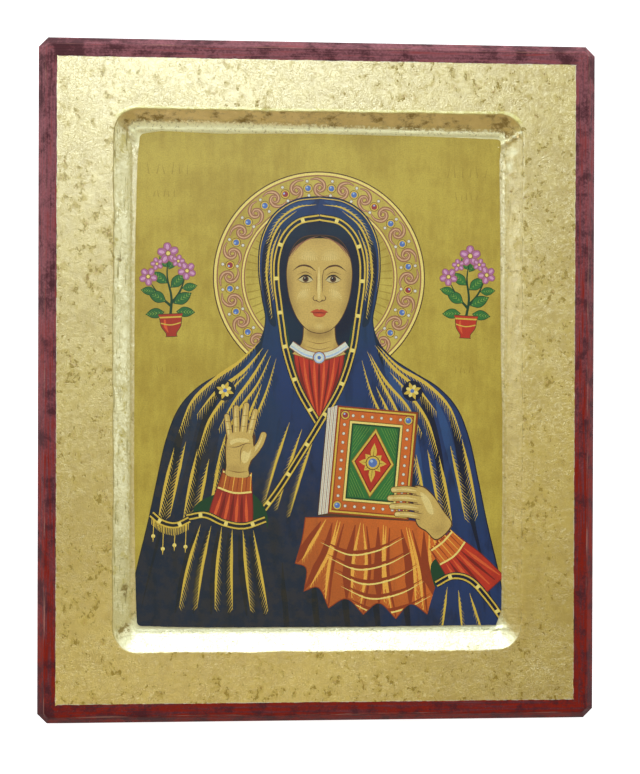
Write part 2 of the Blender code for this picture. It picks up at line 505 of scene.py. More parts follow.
def rough(x, y, z, size, seed):
    """Smooth noise from about -1 to 1 with features of a given size."""
    return noise.noise(Vector((x / size + seed, y / size - seed, z / size + 2 * seed)))


def near_segment(x, y, start, end):
    """Distance of a point from a straight segment."""
    ax, ay = start
    bx, by = end
    length = (bx - ax) ** 2 + (by - ay) ** 2
    share = min(max(((x - ax) * (bx - ax) + (y - ay) * (by - ay)) / length, 0.0), 1.0)
    return math.hypot(x - ax - share * (bx - ax), y - ay - share * (by - ay))


# Ridges of gesso in the field's corners: start, end, height, half width
TOOL_RIDGES = (
    ((90.4, 111.2), (79.8, 105.0), 1.3, 0.95),
    ((88.6, 107.4), (82.4, 103.8), 0.45, 0.6),
    ((88.4, 104.6), (82.2, 101.2), 0.4, 0.55),
    ((87.6, 101.0), (81.8, 97.6), 0.5, 0.6),
    ((86.6, 97.2), (82.2, 94.8), 0.35, 0.6),
    ((87.4, 93.4), (82.4, 91.8), 0.25, 0.6),
    ((87.2, 112.6), (83.5, 109.0), 0.35, 0.8),
    ((-86.2, 112.8), (-82.0, 109.2), 0.45, 0.7),
    ((-84.4, 106.4), (-81.6, 109.8), 0.3, 0.6),
    ((90.4, -108.4), (78.6, -110.4), 0.55, 0.7),
)
RIM_NOTCH = (-23.5, 118.4)
NOTCH_DEPTH, NOTCH_RADIUS = 0.7, 0.9

# Unevenness of the hand-finished skin: a long wave and a short ripple for each place
FACE_WAVE, FACE_RIPPLE = 0.07, 0.035
RIM_WAVE, RIM_RIPPLE, RIM_REACH = 0.42, 0.22, 5.0
SLOPE_WAVE, SLOPE_RIPPLE = 0.28, 0.10
FOOT_LIFT, FOOT_RIPPLE, FOOT_REACH = 0.10, 0.16, 1.6
BEAD_FROM, BEAD_LIFT, BEAD_RIPPLE, BEAD_REACH = 106.0, 0.75, 0.35, 1.9
MIDDLE_X, MIDDLE_Y = 70.0, 98.0


def weathered(x, y, z, reach):
    """A skin point moved by the unevenness of hand-finished gesso and wood."""
    if z < 0.01:
        return x, y, z
    on_face = reach > CHAMFER + 0.5
    if on_face:
        z += FACE_WAVE * rough(x, y, 0, 22.0, 3.0) + FACE_RIPPLE * rough(x, y, 0, 4.0, 5.0)
    rim = max(0.0, 1 - abs(reach - BORDER) / RIM_REACH)
    if rim > 0:
        drift = RIM_WAVE * rough(x, y, 0, 16.0, 11.0) + RIM_RIPPLE * rough(x, y, 0, 3.5, 13.0)
        centre_x = max(-MIDDLE_X, min(MIDDLE_X, x))
        centre_y = max(-MIDDLE_Y, min(MIDDLE_Y, y))
        length = math.hypot(x - centre_x, y - centre_y) or 1.0
        x += (x - centre_x) / length * drift * rim
        y += (y - centre_y) / length * drift * rim
    slope = max(0.0, 1 - abs(reach - BORDER - SLOPE_WIDTH / 2) / (SLOPE_WIDTH / 2 + 1.0))
    z += slope * (SLOPE_WAVE * rough(x, y, 0, 9.0, 17.0) + SLOPE_RIPPLE * rough(x, y, 0, 2.0, 19.0))
    foot = max(0.0, 1 - abs(reach - FOOT) / FOOT_REACH)
    z += foot * (FOOT_LIFT + FOOT_RIPPLE * rough(x, y, 0, 1.6, 23.0))
    if y > BEAD_FROM:
        bead = max(0.0, 1 - abs(reach - FOOT - 0.4) / BEAD_REACH)
        z += bead * (BEAD_LIFT + BEAD_RIPPLE * rough(x, y, 0, 1.5, 29.0))
    for start, end, height, half in TOOL_RIDGES:
        away = near_segment(x, y, start, end)
        if away < 2 * half and reach > BORDER + 0.5:
            z += height * math.exp(-((away / half) ** 2) * 2)
    notch = math.hypot(x - RIM_NOTCH[0], y - RIM_NOTCH[1])
    z -= NOTCH_DEPTH * math.exp(-((notch / NOTCH_RADIUS) ** 2))
    return x, y, z


def finish_piece(name, mesh, materials, angle):
    """Turn a bmesh in millimetres into an object in metres."""
    bmesh.ops.scale(mesh, vec=(MM, MM, MM), verts=mesh.verts)
    bmesh.ops.recalc_face_normals(mesh, faces=mesh.faces)
    data = bpy.data.meshes.new(name)
    mesh.to_mesh(data)
    mesh.free()
    for material in materials:
        data.materials.append(material)
    data.shade_smooth()
    data.set_sharp_from_angle(angle=math.radians(angle))
    piece = bpy.data.objects.new(name, data)
    bpy.context.scene.collection.objects.link(piece)
    return piece


def build_board():
    """The whole board as one closed skin: a grid bent round the edge and capped."""
    profile = board_profile()
    mesh = bmesh.new()
    rows = len(profile) - 1
    bmesh.ops.create_grid(mesh, x_segments=RING_POINTS, y_segments=rows, size=0.5)
    rings = [ring_at(reach) for reach, _ in profile]
    reach_layer = mesh.verts.layers.float.new("reach")
    for vert in mesh.verts:
        column = round((vert.co.x + 0.5) * RING_POINTS) % RING_POINTS
        row = round((vert.co.y + 0.5) * rows)
        reach, height = profile[row]
        vert[reach_layer] = reach
        x, y = rings[row][column]
        vert.co = weathered(x, y, height, reach if row > rows // 8 else 0.0)
    bmesh.ops.remove_doubles(mesh, verts=mesh.verts, dist=0.001)
    rim_edges = [edge for edge in mesh.edges if edge.is_boundary]
    bmesh.ops.holes_fill(mesh, edges=rim_edges, sides=0)
    return finish_piece("gilded_board", mesh, [board_finish()], 50)


# Picture sheet: paints and brush

# Paints by name, as seen, from 0 to 255
PALETTE = {
    "ground": (190, 163, 66), "ground_line": (166, 138, 54), "halo": (198, 172, 78),
    "gold": (210, 172, 66), "gold_light": (232, 204, 112), "gold_deep": (134, 92, 34),
    "mantle": (34, 52, 94), "mantle_light": (46, 72, 116), "mantle_deep": (18, 22, 44),
    "tunic": (186, 50, 30), "tunic_light": (214, 88, 44), "tunic_deep": (120, 30, 22),
    "orange": (205, 100, 36), "orange_light": (232, 164, 66), "orange_deep": (142, 56, 24),
    "green": (50, 110, 50), "green_light": (140, 168, 66), "green_deep": (26, 62, 36),
    "skin": (200, 163, 88), "skin_light": (222, 192, 120), "skin_shade": (150, 112, 56),
    "line": (84, 52, 30), "black": (36, 26, 22), "lip": (186, 72, 42), "eye": (196, 176, 128),
    "white": (212, 208, 188), "rose": (172, 100, 142), "rose_light": (208, 150, 182),
    "scroll": (150, 98, 70), "scroll_light": (206, 158, 118),
    "gem": (88, 112, 168), "gem_light": (160, 180, 210), "gem_red": (150, 56, 60),
}


def smooth_line(points, closed=False, step=0.9):
    """A smooth curve through points. A point with a third value is a sharp corner."""
    places = [np.array(point[:2], float) for point in points]
    sharp = [len(point) > 2 for point in points]
    count = len(points)
    if not closed:
        sharp[0] = sharp[-1] = True
    line = []
    for i in range(count if closed else count - 1):
        j = (i + 1) % count
        chord = places[j] - places[i]
        leave = chord if sharp[i] else (places[j] - places[i - 1]) / 2
        arrive = chord if sharp[j] else (places[(j + 1) % count] - places[i]) / 2
        pieces = 1 if sharp[i] and sharp[j] else max(2, math.ceil(float(np.hypot(*chord)) / step))
        for t in np.arange(pieces) / pieces:
            line.append(
                places[i] * (2 * t ** 3 - 3 * t ** 2 + 1) + leave * (t ** 3 - 2 * t ** 2 + t)
                + places[j] * (3 * t ** 2 - 2 * t ** 3) + arrive * (t ** 3 - t ** 2)
            )
    if not closed:
        line.append(places[-1])
    return np.array(line)


def along(line, shares):
    """Points and unit directions at shares of a line's length."""
    steps = np.hypot(*np.diff(line, axis=0).T)
    travelled = np.concatenate([[0], np.cumsum(steps)]) / steps.sum()

    def read(share):
        return np.stack([np.interp(share, travelled, line[:, axis]) for axis in (0, 1)], 1)

    directions = read(np.minimum(shares + 0.01, 1)) - read(np.maximum(shares - 0.01, 0))
    return read(shares), directions / np.hypot(*directions.T)[:, None]


def ribbon(line, half_widths):
    """The outline of a stroke whose half width follows a list of values along it."""
    shares = np.linspace(0, 1, len(line))
    places, directions = along(line, shares)
    half = np.interp(shares, np.linspace(0, 1, len(half_widths)), half_widths)
    side = np.stack([-directions[:, 1], directions[:, 0]], 1) * half[:, None]
    left, right = places + side, (places - side)[::-1]
    return np.concatenate([left, right[half_widths[-1] == 0:len(right) - (half_widths[0] == 0)]])


def circle(x, y, radius, points=20):
    """A round outline."""
    angle = np.arange(points) * 2 * math.pi / points
    return np.stack([x + radius * np.cos(angle), y + radius * np.sin(angle)], 1)


def between(first, last, share):
    """A line between two guide lines with the same number of points."""
    return [tuple(np.array(a[:2]) * (1 - share) + np.array(b[:2]) * share) for a, b in zip(first, last)]


def whole(half):
    """An outline that is the same left and right, from its right half."""
    return list(half) + [(-p[0], p[1], *p[2:]) for p in reversed(half[1:-1])]


# Distance between the teeth of a fold's comb
COMB_PITCH = 1.75


class Brush:
    """Adds painted shapes to a list, at one or more places."""

    def __init__(self, shapes, places=((np.eye(2), np.zeros(2)),), clip=None):
        self.shapes = shapes
        self.places = places
        self.clip = clip

    def at(self, x, y, turn=0.0, size=1.0):
        """A brush for a motif with its own middle, turn in degrees and size."""
        c, s = math.cos(math.radians(turn)) * size, math.sin(math.radians(turn)) * size
        own = np.array([[c, -s], [s, c]])
        shift = np.array([x, y], float)
        return Brush(self.shapes, [(m @ own, m @ shift + offset) for m, offset in self.places], self.clip)

    def both(self):
        """A brush that paints left and right alike."""
        flip = np.diag([-1.0, 1.0])
        mirrored = [(flip @ matrix, flip @ offset) for matrix, offset in self.places]
        return Brush(self.shapes, list(self.places) + mirrored, self.clip)

    def inside(self, outline):
        """A brush whose paint shows only inside an outline."""
        return Brush(self.shapes, self.places, outline)

    def add(self, paint, outline):
        outline = np.array(outline, float)
        for matrix, offset in self.places:
            clip = None if self.clip is None else self.clip @ matrix.T + offset
            self.shapes.append((paint, outline @ matrix.T + offset, clip))

    def area(self, paint, points, step=0.9):
        outline = smooth_line(points, True, step)
        self.add(paint, outline)
        return outline

    def rimmed(self, rim, paint, points, width, step=0.9):
        """An area with a thin rim of another paint, and a brush for its inside."""
        outline = smooth_line(points, True, step)
        self.add(rim, outline)
        following = np.roll(outline, -1, 0)
        ahead = following - np.roll(outline, 1, 0)
        ahead /= np.maximum(np.hypot(*ahead.T), 1e-6)[:, None]
        area = np.sum(outline[:, 0] * following[:, 1] - following[:, 0] * outline[:, 1])
        inner = outline + np.stack([-ahead[:, 1], ahead[:, 0]], 1) * width * np.sign(area)
        self.add(paint, inner)
        return self.inside(inner)

    def stroke(self, paint, points, half_widths, step=0.9):
        self.add(paint, ribbon(smooth_line(points, False, step), half_widths))

    def disc(self, paint, x, y, radius, points=20):
        self.add(paint, circle(x, y, radius, points))

    def finger(self, points, width):
        """A rounded finger with a thin rim and a light along it."""
        line = smooth_line(points, False, 0.8)
        for paint, half in (("line", width / 2 + 0.28), ("skin", width / 2)):
            self.add(paint, ribbon(line, (half, half * 0.98, half * 0.86)))
            self.disc(paint, *line[-1], half * 0.86, 14)
        self.stroke("skin_light", [(x - 0.12 * width, y) for x, y in points], (0.05, width * 0.2, 0.1), 0.8)

    def comb(self, paint, points, teeth, length, lean, width=0.66):
        """A row of tapering hatch strokes that leave a line at an angle, longest past its middle."""
        line = smooth_line(points, False)
        shares = np.linspace(0.06, 0.97, teeth)
        places, directions = along(line, shares)
        angle = math.radians(lean)
        turn = np.array([[math.cos(angle), -math.sin(angle)], [math.sin(angle), math.cos(angle)]])
        for i, (place, direction) in enumerate(zip(places, directions)):
            envelope = 1.5 * shares[i] ** 0.7 * (1 - shares[i]) ** 0.32
            reach = length * envelope * (1 + 0.16 * math.sin(i * 2.4 + length))
            half = direction * width / 2
            self.add(paint, [place - half, place + half, place + turn @ direction * reach])

    def wing(self, points, length, lean, half_width):
        """A gold light on a fold: a tapering stroke with a close comb on one side."""
        line = smooth_line(points, False)
        travel = float(np.hypot(*np.diff(line, axis=0).T).sum())
        self.stroke("gold", points, (0.05, half_width, half_width * 0.8, 0.0))
        self.comb("gold", points, max(4, round(travel / COMB_PITCH)), length, lean)


# Halo

HALO_Y = 46.0
RING_MIDDLE = 39.8


def gem(brush, x, y, radius, paint="gem"):
    """A round gem in a gold setting."""
    brush.disc("line", x, y, radius * 1.6, 14)
    brush.disc("gold", x, y, radius * 1.42, 14)
    brush.disc(paint, x, y, radius, 12)
    brush.disc("gem_light", x - radius * 0.3, y + radius * 0.35, radius * 0.34, 7)


def pearl(brush, x, y, radius):
    brush.disc("scroll", x, y, radius * 1.4, 9)
    brush.disc("white", x, y, radius, 8)


def scroll(brush, hand):
    """One double curl of the halo's ring."""
    curl = [(-4.2 * hand, -3.5), (-1.2 * hand, -4.0), (1.6 * hand, -2.4), (2.0 * hand, 0.2),
            (0.2 * hand, 1.6), (-1.3 * hand, 0.4), (-0.5 * hand, -0.9)]
    for side in (1, -1):
        points = [(x * side, y * side) for x, y in curl]
        brush.stroke("scroll", points, (0.3, 0.85, 0.85, 0.4), 0.7)
        brush.stroke("scroll_light", points, (0.05, 0.32, 0.32, 0.05), 0.7)


def paint_halo(brush):
    """A large halo with a ring of scrollwork, pearls and gems."""
    centre = brush.at(0, HALO_Y)
    for paint, radius in (("line", 47.0), ("gold_light", 46.5), ("scroll", 45.4), ("halo", 44.8)):
        centre.disc(paint, 0, 0, radius, 110)
    for k in range(24):
        scroll(centre.at(0, 0, 15 * k).at(0, RING_MIDDLE), 1 if k % 2 else -1)
        place = centre.at(0, 0, 15 * (k + 0.5)).at(0, RING_MIDDLE)
        gem(place, 0, 0, 1.3, "gem_red" if k % 4 == 1 else "gem")
        pearl(place, 0, 3.2, 0.62)
        pearl(place, 0, -3.2, 0.62)
    for paint, reach in (("scroll", 5.1), ("gold_light", 5.6), ("scroll", 6.4), ("halo", 6.9)):
        centre.disc(paint, 0, 0, RING_MIDDLE - reach, 100)
    for k in range(60):
        ray = centre.at(0, 0, 6 * k)
        ray.stroke("ground_line", [(0, 32.4), (0, 22.0 if k % 2 else 26.0)], (0.3, 0.3, 0.05))


# Mantle, head and dress

MANTLE_HALF = (
    (0, 82), (11, 80.5), (20.5, 74), (26, 63), (27.2, 50), (25.6, 37), (24, 27), (26.5, 18), (33, 10.5),
    (43, 4), (53.5, -2.5), (62, -12), (67.5, -26), (71.5, -44), (75.5, -63), (80.5, -84), (88, -118, 1),
    (0, -118, 1),
)
OPENING_HALF = (
    (0, 72.6), (9.2, 70.6), (15.6, 64.2), (18.8, 54.5), (19.0, 44), (17.8, 34), (16.6, 25), (14.6, 13),
    (9.2, -3), (0, -19, 1),
)
FACE_HALF = (
    (0, 65), (7.5, 63.8), (12.2, 58.5), (14.3, 50.5), (14.1, 42.5), (12.6, 34.8), (9.6, 27.8),
    (5.2, 22.8), (0, 21.2),
)


BAND_WIDTH = 2.0


def edge_band(brush, points, bars):
    """A gold border along a cloth's edge: two lines tied by cross bars."""
    line = smooth_line(points, False)
    places, directions = along(line, np.linspace(0, 1, len(line)))
    side = np.stack([-directions[:, 1], directions[:, 0]], 1)
    half = BAND_WIDTH / 2
    brush.add("mantle_deep", ribbon(places, (half + 0.75, half + 0.75)))
    for away in (-half, half):
        brush.add("gold", ribbon(places + side * away, (0.36, 0.36)))
    shares = (np.arange(bars) + 0.5) / bars
    for end, heading in zip(*along(line, shares)):
        across = np.array([-heading[1], heading[0]]) * half
        brush.add("gold_light", ribbon(np.array([end - across, end, end + across]), (0.8, 0.8)))


def paint_head(brush):
    """The hood's inside, the neck and the face."""
    lining = brush.area("mantle_deep", whole(OPENING_HALF))
    inside = brush.inside(lining)
    both = inside.both()
    both.area("green_deep", [
        (17.2, 36, 1), (14.6, 25), (12.0, 13), (6.4, -4), (-1, -17, 1), (4, -19, 1), (12, -4), (18, 14),
        (19, 30, 1),
    ])
    both.area("green", [
        (17.6, 33, 1), (15.6, 24), (13.2, 12), (7.6, -5), (1, -16, 1), (4, -19, 1), (12, -4), (18, 14),
        (19, 30, 1),
    ])
    both.comb("green_light", [(17.2, 30), (15.0, 18), (12.6, 8), (7.6, -4)], 12, 2.6, 150, 0.4)
    inside.area("tunic_deep", [(-11.8, 15.5, 1), (11.8, 15.5, 1), (9.6, 3), (0, -17.6, 1), (-9.6, 3)])
    tunic = inside.inside(inside.area("tunic", [
        (-11.3, 15, 1), (11.3, 15, 1), (9.0, 3), (0, -16.6, 1), (-9.0, 3),
    ]))
    for k in range(9):
        x = -9.2 + 2.3 * k
        paint = "tunic_light" if k % 2 else "tunic_deep"
        tunic.stroke(paint, [(x, 11), (x * 0.8, 0), (x * 0.22, -15)], (0.1, 0.6, 0.35, 0.1))
    brush.area("line", whole(((0, 32), (7.4, 32), (7.2, 23), (8.2, 17), (12.4, 12.4, 1), (0, 9))))
    brush.area("skin", whole(((0, 32), (7.0, 32), (6.8, 23), (7.8, 16.8), (11.8, 12.2, 1), (0, 9.4))))
    for y in (16.8, 14.2):
        brush.stroke("skin_shade", [(-5.6, y + 1.3), (0, y), (5.6, y + 1.3)], (0.05, 0.22, 0.05))
    face = brush.rimmed("line", "skin", whole([(x * 1.02, y) for x, y in FACE_HALF]), 0.32)
    face.area("black", [
        (-16, 67), (16, 67), (16, 51), (13.4, 55), (9.4, 60.2), (4.4, 62.9), (0, 63.4), (-4.4, 62.9),
        (-9.4, 60.2), (-13.4, 55), (-16, 51),
    ])
    for k in range(6):
        face.both().stroke("scroll", [
            (0.5 + 1.3 * k, 64.4 - 0.4 * k), (5 + 1.3 * k, 63.0 - 0.9 * k),
            (9.4 + 0.9 * k, 60.0 - 1.4 * k),
        ], (0.04, 0.16, 0.04))
    paint_features(brush)
    band = [(-12.4, 16.4), (-6.5, 12.6), (0, 11.3), (6.5, 12.6), (12.4, 16.4)]
    for paint, half in (("scroll", 1.75), ("white", 1.4)):
        brush.stroke(paint, band, (half, half))
    brush.stroke("gem_light", [(x, y - 0.6) for x, y in band], (0.2, 0.4, 0.2))
    for paint, radius in (("scroll", 2.9), ("gem_light", 2.4), ("white", 1.8), ("gem", 0.8)):
        brush.disc(paint, 0, 10.6, radius, 16)


def paint_features(brush):
    """A calm, even face: brows, eyes, nose and mouth."""
    both = brush.both()
    both.area("eye", [(3.0, 45.0), (4.6, 46.3), (6.6, 46.6), (9.1, 45.0), (7.2, 44.1), (4.8, 44.0)], 0.5)
    both.disc("line", 6.1, 45.35, 1.36, 14)
    both.disc("black", 6.1, 45.4, 0.72, 10)
    for x in (-6.45, 5.75):
        brush.disc("white", x, 45.85, 0.24, 6)
    both.stroke("black", [
        (2.6, 44.8), (4.5, 46.6), (6.8, 46.95), (9.0, 45.6), (10.2, 44.9),
    ], (0.05, 0.3, 0.36, 0.25, 0.0), 0.5)
    both.stroke("line", [(3.2, 44.5), (5.2, 43.75), (7.4, 43.9), (9.4, 44.9)], (0.03, 0.14, 0.14, 0.03), 0.5)
    both.stroke("line", [(3.0, 47.0), (6.0, 48.5), (9.8, 47.3)], (0.03, 0.16, 0.03), 0.5)
    both.stroke("line", [(1.7, 49.0), (4.6, 51.0), (8.5, 51.2), (12.2, 48.7)], (0.12, 0.42, 0.36, 0.0), 0.5)
    brush.stroke("skin_light", [
        (-0.2, 51), (-0.2, 45), (-0.2, 39), (-0.2, 36.8),
    ], (0.1, 0.42, 0.55, 0.75, 0.3), 0.5)
    brush.stroke("line", [(1.9, 49.2), (1.35, 46), (1.35, 40.5), (1.75, 38.4)], (0.1, 0.14, 0.12, 0.0), 0.5)
    brush.stroke("skin_shade", [
        (-1.6, 48.6), (-1.2, 45), (-1.3, 40.5), (-1.7, 38.4),
    ], (0.05, 0.16, 0.12, 0.0), 0.5)
    both.stroke("line", [
        (2.0, 38.3), (2.8, 37.1), (2.3, 35.9), (1.2, 35.7), (0, 35.1),
    ], (0.03, 0.16, 0.17, 0.15, 0.15), 0.4)
    both.stroke("line", [(0.9, 35.95), (1.8, 36.2)], (0.2, 0.08))
    brush.area("lip", [
        (-3.9, 30.7), (-2.0, 31.8), (-0.7, 32.1), (0, 31.7), (0.7, 32.1), (2.0, 31.8), (3.9, 30.7),
        (2.0, 30.35), (0, 30.5), (-2.0, 30.35),
    ], 0.5)
    brush.area("lip", [(-2.9, 30.4), (0, 30.5), (2.9, 30.4), (1.9, 28.9), (0, 28.5), (-1.9, 28.9)], 0.5)
    brush.stroke("tunic_light", [(-1.6, 29.6), (0, 29.4), (1.6, 29.6)], (0.05, 0.3, 0.05), 0.5)
    brush.stroke("tunic_deep", [
        (-4.1, 30.75), (-2.0, 30.4), (0, 30.65), (2.0, 30.4), (4.1, 30.75),
    ], (0.03, 0.17, 0.2, 0.17, 0.03), 0.5)
    both.comb("skin_light", [(10.0, 35.6), (9.6, 38.4), (7.0, 40.6), (4.2, 41.0)], 11, 3.4, 96, 0.3)
    both.comb("skin_light", [(9.2, 54.6), (6.0, 53.8), (3.2, 53.6), (0.8, 53.8)], 9, 4.0, -96, 0.3)


def paint_mantle(brush):
    """The blue mantle: its folds, lights and gold lines."""
    both = brush.rimmed("mantle_deep", "mantle", whole(MANTLE_HALF), 0.55).both()
    for points in (
        [
            (24, 24), (29, 12), (34, -4), (37, -24), (39, -46), (46, -66), (43, -44), (40, -22),
            (34, -2), (27, 10),
        ],
        [
            (45, -2), (51, -15), (55, -32), (57, -52), (61, -76), (67, -104), (62, -80), (55, -54),
            (51, -31), (46, -14),
        ],
        [(58, -14), (64, -28), (67, -46), (71, -68), (78, -100), (71, -74), (65, -52), (61, -30)],
        [(19, 25), (21, 36), (22.4, 48), (21, 60), (17, 68), (24, 61), (25.6, 49), (24, 36), (22, 26)],
    ):
        both.area("mantle_deep", points)
    for points in (
        [(28, 14), (35, 2), (41, -12), (45, -30), (47, -50), (43, -32), (37, -14), (31, -2)],
        [(52, -8), (58, -20), (62, -38), (64, -56), (60, -42), (55, -24)],
        [(2, 80), (11, 78.6), (18, 73.6), (22, 66), (15, 73), (8, 76.6)],
    ):
        both.area("mantle_light", points)
    both.stroke("gold", [
        (24.6, 30), (25.2, 37), (26.6, 50), (25.4, 62.6), (20, 73.2), (11, 79.5), (0, 81.2),
    ], (0.0, 0.2, 0.2, 0.2), 1.2)
    outer = [(1.5, 78.5), (10.5, 77), (18.6, 70.8), (23.4, 61), (24.4, 49), (22.9, 37), (21.5, 28)]
    inner = [(1.5, 75.6), (9.8, 73.9), (17, 67), (20.6, 57), (21.0, 46), (19.8, 36), (19, 28)]
    for side in (1, -1):
        hand = brush.both()
        hand.places = hand.places[:1] if side > 0 else hand.places[1:]
        for k, (share, first, last) in enumerate(((0.08, 0, 4), (0.5, 1, 5), (0.3, 3, 7), (0.92, 2, 6))):
            hand.wing(between(outer, inner, share)[first:last], 3.4, 30, 0.42)
        upper = [(26, 17), (35.5, 7.5), (47, 0), (57, -10), (63, -24)]
        lower = [(18.5, 10), (22.5, -5), (27.5, -20), (31.5, -36), (34.5, -52)]
        for k in range(7):
            drift = 1.2 * math.sin(k * 2.3 + side)
            fold = between(upper, lower, k / 6.4)
            line = [(x + drift * (i > 1), y - drift) for i, (x, y) in enumerate(fold)]
            hand.wing(line[k % 3 == 2:5 - k % 2], 7.6 - 0.35 * k, -34, 0.8 - 0.05 * k)
        outer_arm = [(64.5, -27), (68.5, -44), (72, -62)]
        inner_arm = [(41, -34), (43.5, -48), (46, -62)]
        for k in range(5):
            line = between(outer_arm, inner_arm, (k + 0.15) / 4.6)
            swing = 2.5 * math.sin(k * 2 + side)
            hand.wing([(x, y + swing) for x, y in line], 7.0, 34 if k % 2 else -34, 0.65)
    rosette(brush.at(41.5, -4.0, 20))
    rosette(brush.at(-41.5, -4.0, -20))


def rosette(brush):
    """A small gold star flower."""
    brush.disc("mantle_deep", 0, 0, 4.6, 20)
    for k in range(8):
        petal = brush.at(0, 0, 45 * k)
        paint, tip = ("gold_light", 3.0) if k % 2 else ("gold", 4.1)
        petal.area(paint, [(0, 0, 1), (0.8, 2.2), (0, tip, 1), (-0.8, 2.2)], 0.8)
    brush.disc("gem", 0, 0, 0.9, 10)


# Hands, sleeves, book and cloth

def sleeve(brush):
    """A red sleeve with an orange cuff. Its middle is the wrist, and it runs downwards."""
    cloth = brush.rimmed("tunic_deep", "tunic", [
        (-6.4, 1.6, 1), (6.4, 1.6, 1), (7.8, -6), (9.6, -16), (10.6, -30, 1), (-10.6, -30, 1),
        (-9.6, -16), (-7.8, -6),
    ], 0.35)
    for k in range(7):
        x = -6.6 + 2.2 * k
        paint = "tunic_deep" if k % 2 else "tunic_light"
        cloth.stroke(paint, [(x * 0.8, -8), (x, -16), (x * 1.4, -28)], (0.1, 0.7, 0.5, 0.2))
    cuff = cloth.inside(cloth.area("orange", [
        (-7, 2, 1), (7, 2, 1), (8.4, -6, 1), (0, -7.6), (-8.4, -6, 1),
    ]))
    for k in range(8):
        x = -6.2 + 1.77 * k
        cuff.stroke("orange_light" if k % 2 else "orange_deep", [(x, 2), (x * 1.12, -7)], (0.25, 0.3, 0.15))
    cloth.stroke("gold_light", [(-6.6, 0.9), (0, 0.2), (6.6, 0.9)], (0.4, 0.4))
    cloth.stroke("gold_light", [(-8.4, -6.2), (0, -7.8), (8.4, -6.2)], (0.4, 0.4))


def raised_hand(brush):
    """An open right hand, palm to the front. Its middle is the palm's middle."""
    brush.area("line", [
        (-5.1, -14), (-5.7, -9.5), (-6.7, -2), (-5.9, 5.2), (5.1, 5.4), (6.1, 0), (5.7, -6), (4.6, -10),
        (4.5, -14),
    ])
    brush.finger([(-4.7, 2.0), (-6.2, 7.8), (-7.2, 12.0)], 2.5)
    brush.finger([(-2.2, 3.0), (-2.9, 10.2), (-3.4, 16.0)], 2.7)
    brush.finger([(0.6, 3.4), (0.7, 11.0), (0.9, 17.6)], 2.8)
    brush.finger([(3.2, 3.0), (4.2, 9.4), (5.1, 15.2)], 2.7)
    brush.finger([(3.2, -6.4), (6.2, -2.6), (8.5, 1.4), (9.6, 5.2)], 3.0)
    brush.area("skin", [
        (-4.8, -14), (-5.4, -9.5), (-6.3, -2), (-5.7, 3.6), (-3.2, 5.2), (0.6, 5.8), (4.4, 4.6),
        (5.6, 0), (6.6, -1.4), (5.2, -6), (4.2, -10), (4.1, -14),
    ])
    brush.area("skin_light", [
        (1.4, -2.5), (3.6, -3.4), (4.8, -1.4), (3.9, -6.6), (2.0, -8.0), (0.6, -5.6),
    ], 0.6)
    brush.area("skin_light", [
        (-4.8, 1.2), (-2.0, 2.6), (1.2, 3.0), (3.6, 2.2), (2.2, 1.2), (-1.6, 1.0), (-4.2, -0.4),
    ], 0.6)
    brush.stroke("line", [(-5.3, -1.4), (-1.6, -1.1), (1.6, 0.5), (4.6, 1.0)], (0.03, 0.15, 0.15, 0.03), 0.6)
    brush.stroke("line", [(2.2, 1.2), (0.3, -2.4), (0.5, -8.6)], (0.03, 0.16, 0.03), 0.6)
    brush.stroke("skin_shade", [(-4.6, -11.6), (0, -12.2), (4.0, -11.4)], (0.05, 0.3, 0.05), 0.6)
    for x, y in (
        (-5.6, 6.2), (-2.6, 7.6), (0.65, 8.2), (3.8, 7.2), (-6.6, 9.6), (-3.1, 12.0), (0.8, 13.0),
        (4.6, 11.6),
    ):
        brush.stroke("skin_shade", [(x - 1.0, y), (x + 1.0, y + 0.1)], (0.14, 0.14))


def holding_hand(brush):
    """A left hand whose fingers lie over a book's edge. Its middle is the knuckles."""
    brush.area("line", [
        (-1.2, 8.6), (3.6, 8.9), (8.2, 4.4), (12.2, -2.6), (15.6, -9.4), (8.2, -15.6), (3.6, -11.5),
        (-0.4, -8.0), (-1.4, 0),
    ])
    brush.area("skin", [
        (-0.8, 8.1), (3.4, 8.4), (7.8, 4.1), (11.8, -2.8), (15.0, -9.2), (8.3, -15.0), (3.9, -11.1),
        (0.0, -7.6), (-1.0, 0),
    ])
    for points, width in (
        ([(2.2, 6.6), (-3.8, 8.0), (-9.6, 8.2)], 2.7), ([(2.0, 3.0), (-4.6, 4.3), (-11.4, 4.6)], 2.9),
        ([(1.8, -0.8), (-4.6, 0.5), (-10.8, 0.9)], 2.8), ([(1.4, -4.4), (-4.0, -3.2), (-8.8, -2.7)], 2.5),
    ):
        brush.finger(points, width)
        x, y = points[-1]
        nail = [(x - 0.9, y - 0.5), (x + 1.0, y - 0.6), (x + 1.1, y + 0.5), (x - 0.8, y + 0.6)]
        brush.area("skin_light", nail, 0.5)
    brush.area("skin", [(0.6, 7.9), (3.4, 7.6), (7.4, 3.6), (9.5, -3), (7.4, -9.4), (2.0, -6.6), (0.8, 0)])
    brush.area("skin_light", [(2.2, 6.2), (4.4, 4.8), (6.6, 1.4), (7.4, -3.6), (5.2, -3.0), (3.2, 1.6)], 0.6)
    for y in (5.0, 1.2, -2.8):
        brush.stroke("line", [(0.2, y), (3.0, y - 0.7)], (0.15, 0.03))


BOOK_HALF_WIDTH, BOOK_HALF_HEIGHT = 18.0, 24.0


def frame_of(brush, paint, inset):
    """A rectangle of the book's cover at an inset."""
    x, y = BOOK_HALF_WIDTH - inset, BOOK_HALF_HEIGHT - inset
    brush.add(paint, [(-x, -y), (x, -y), (x, y), (-x, y)])


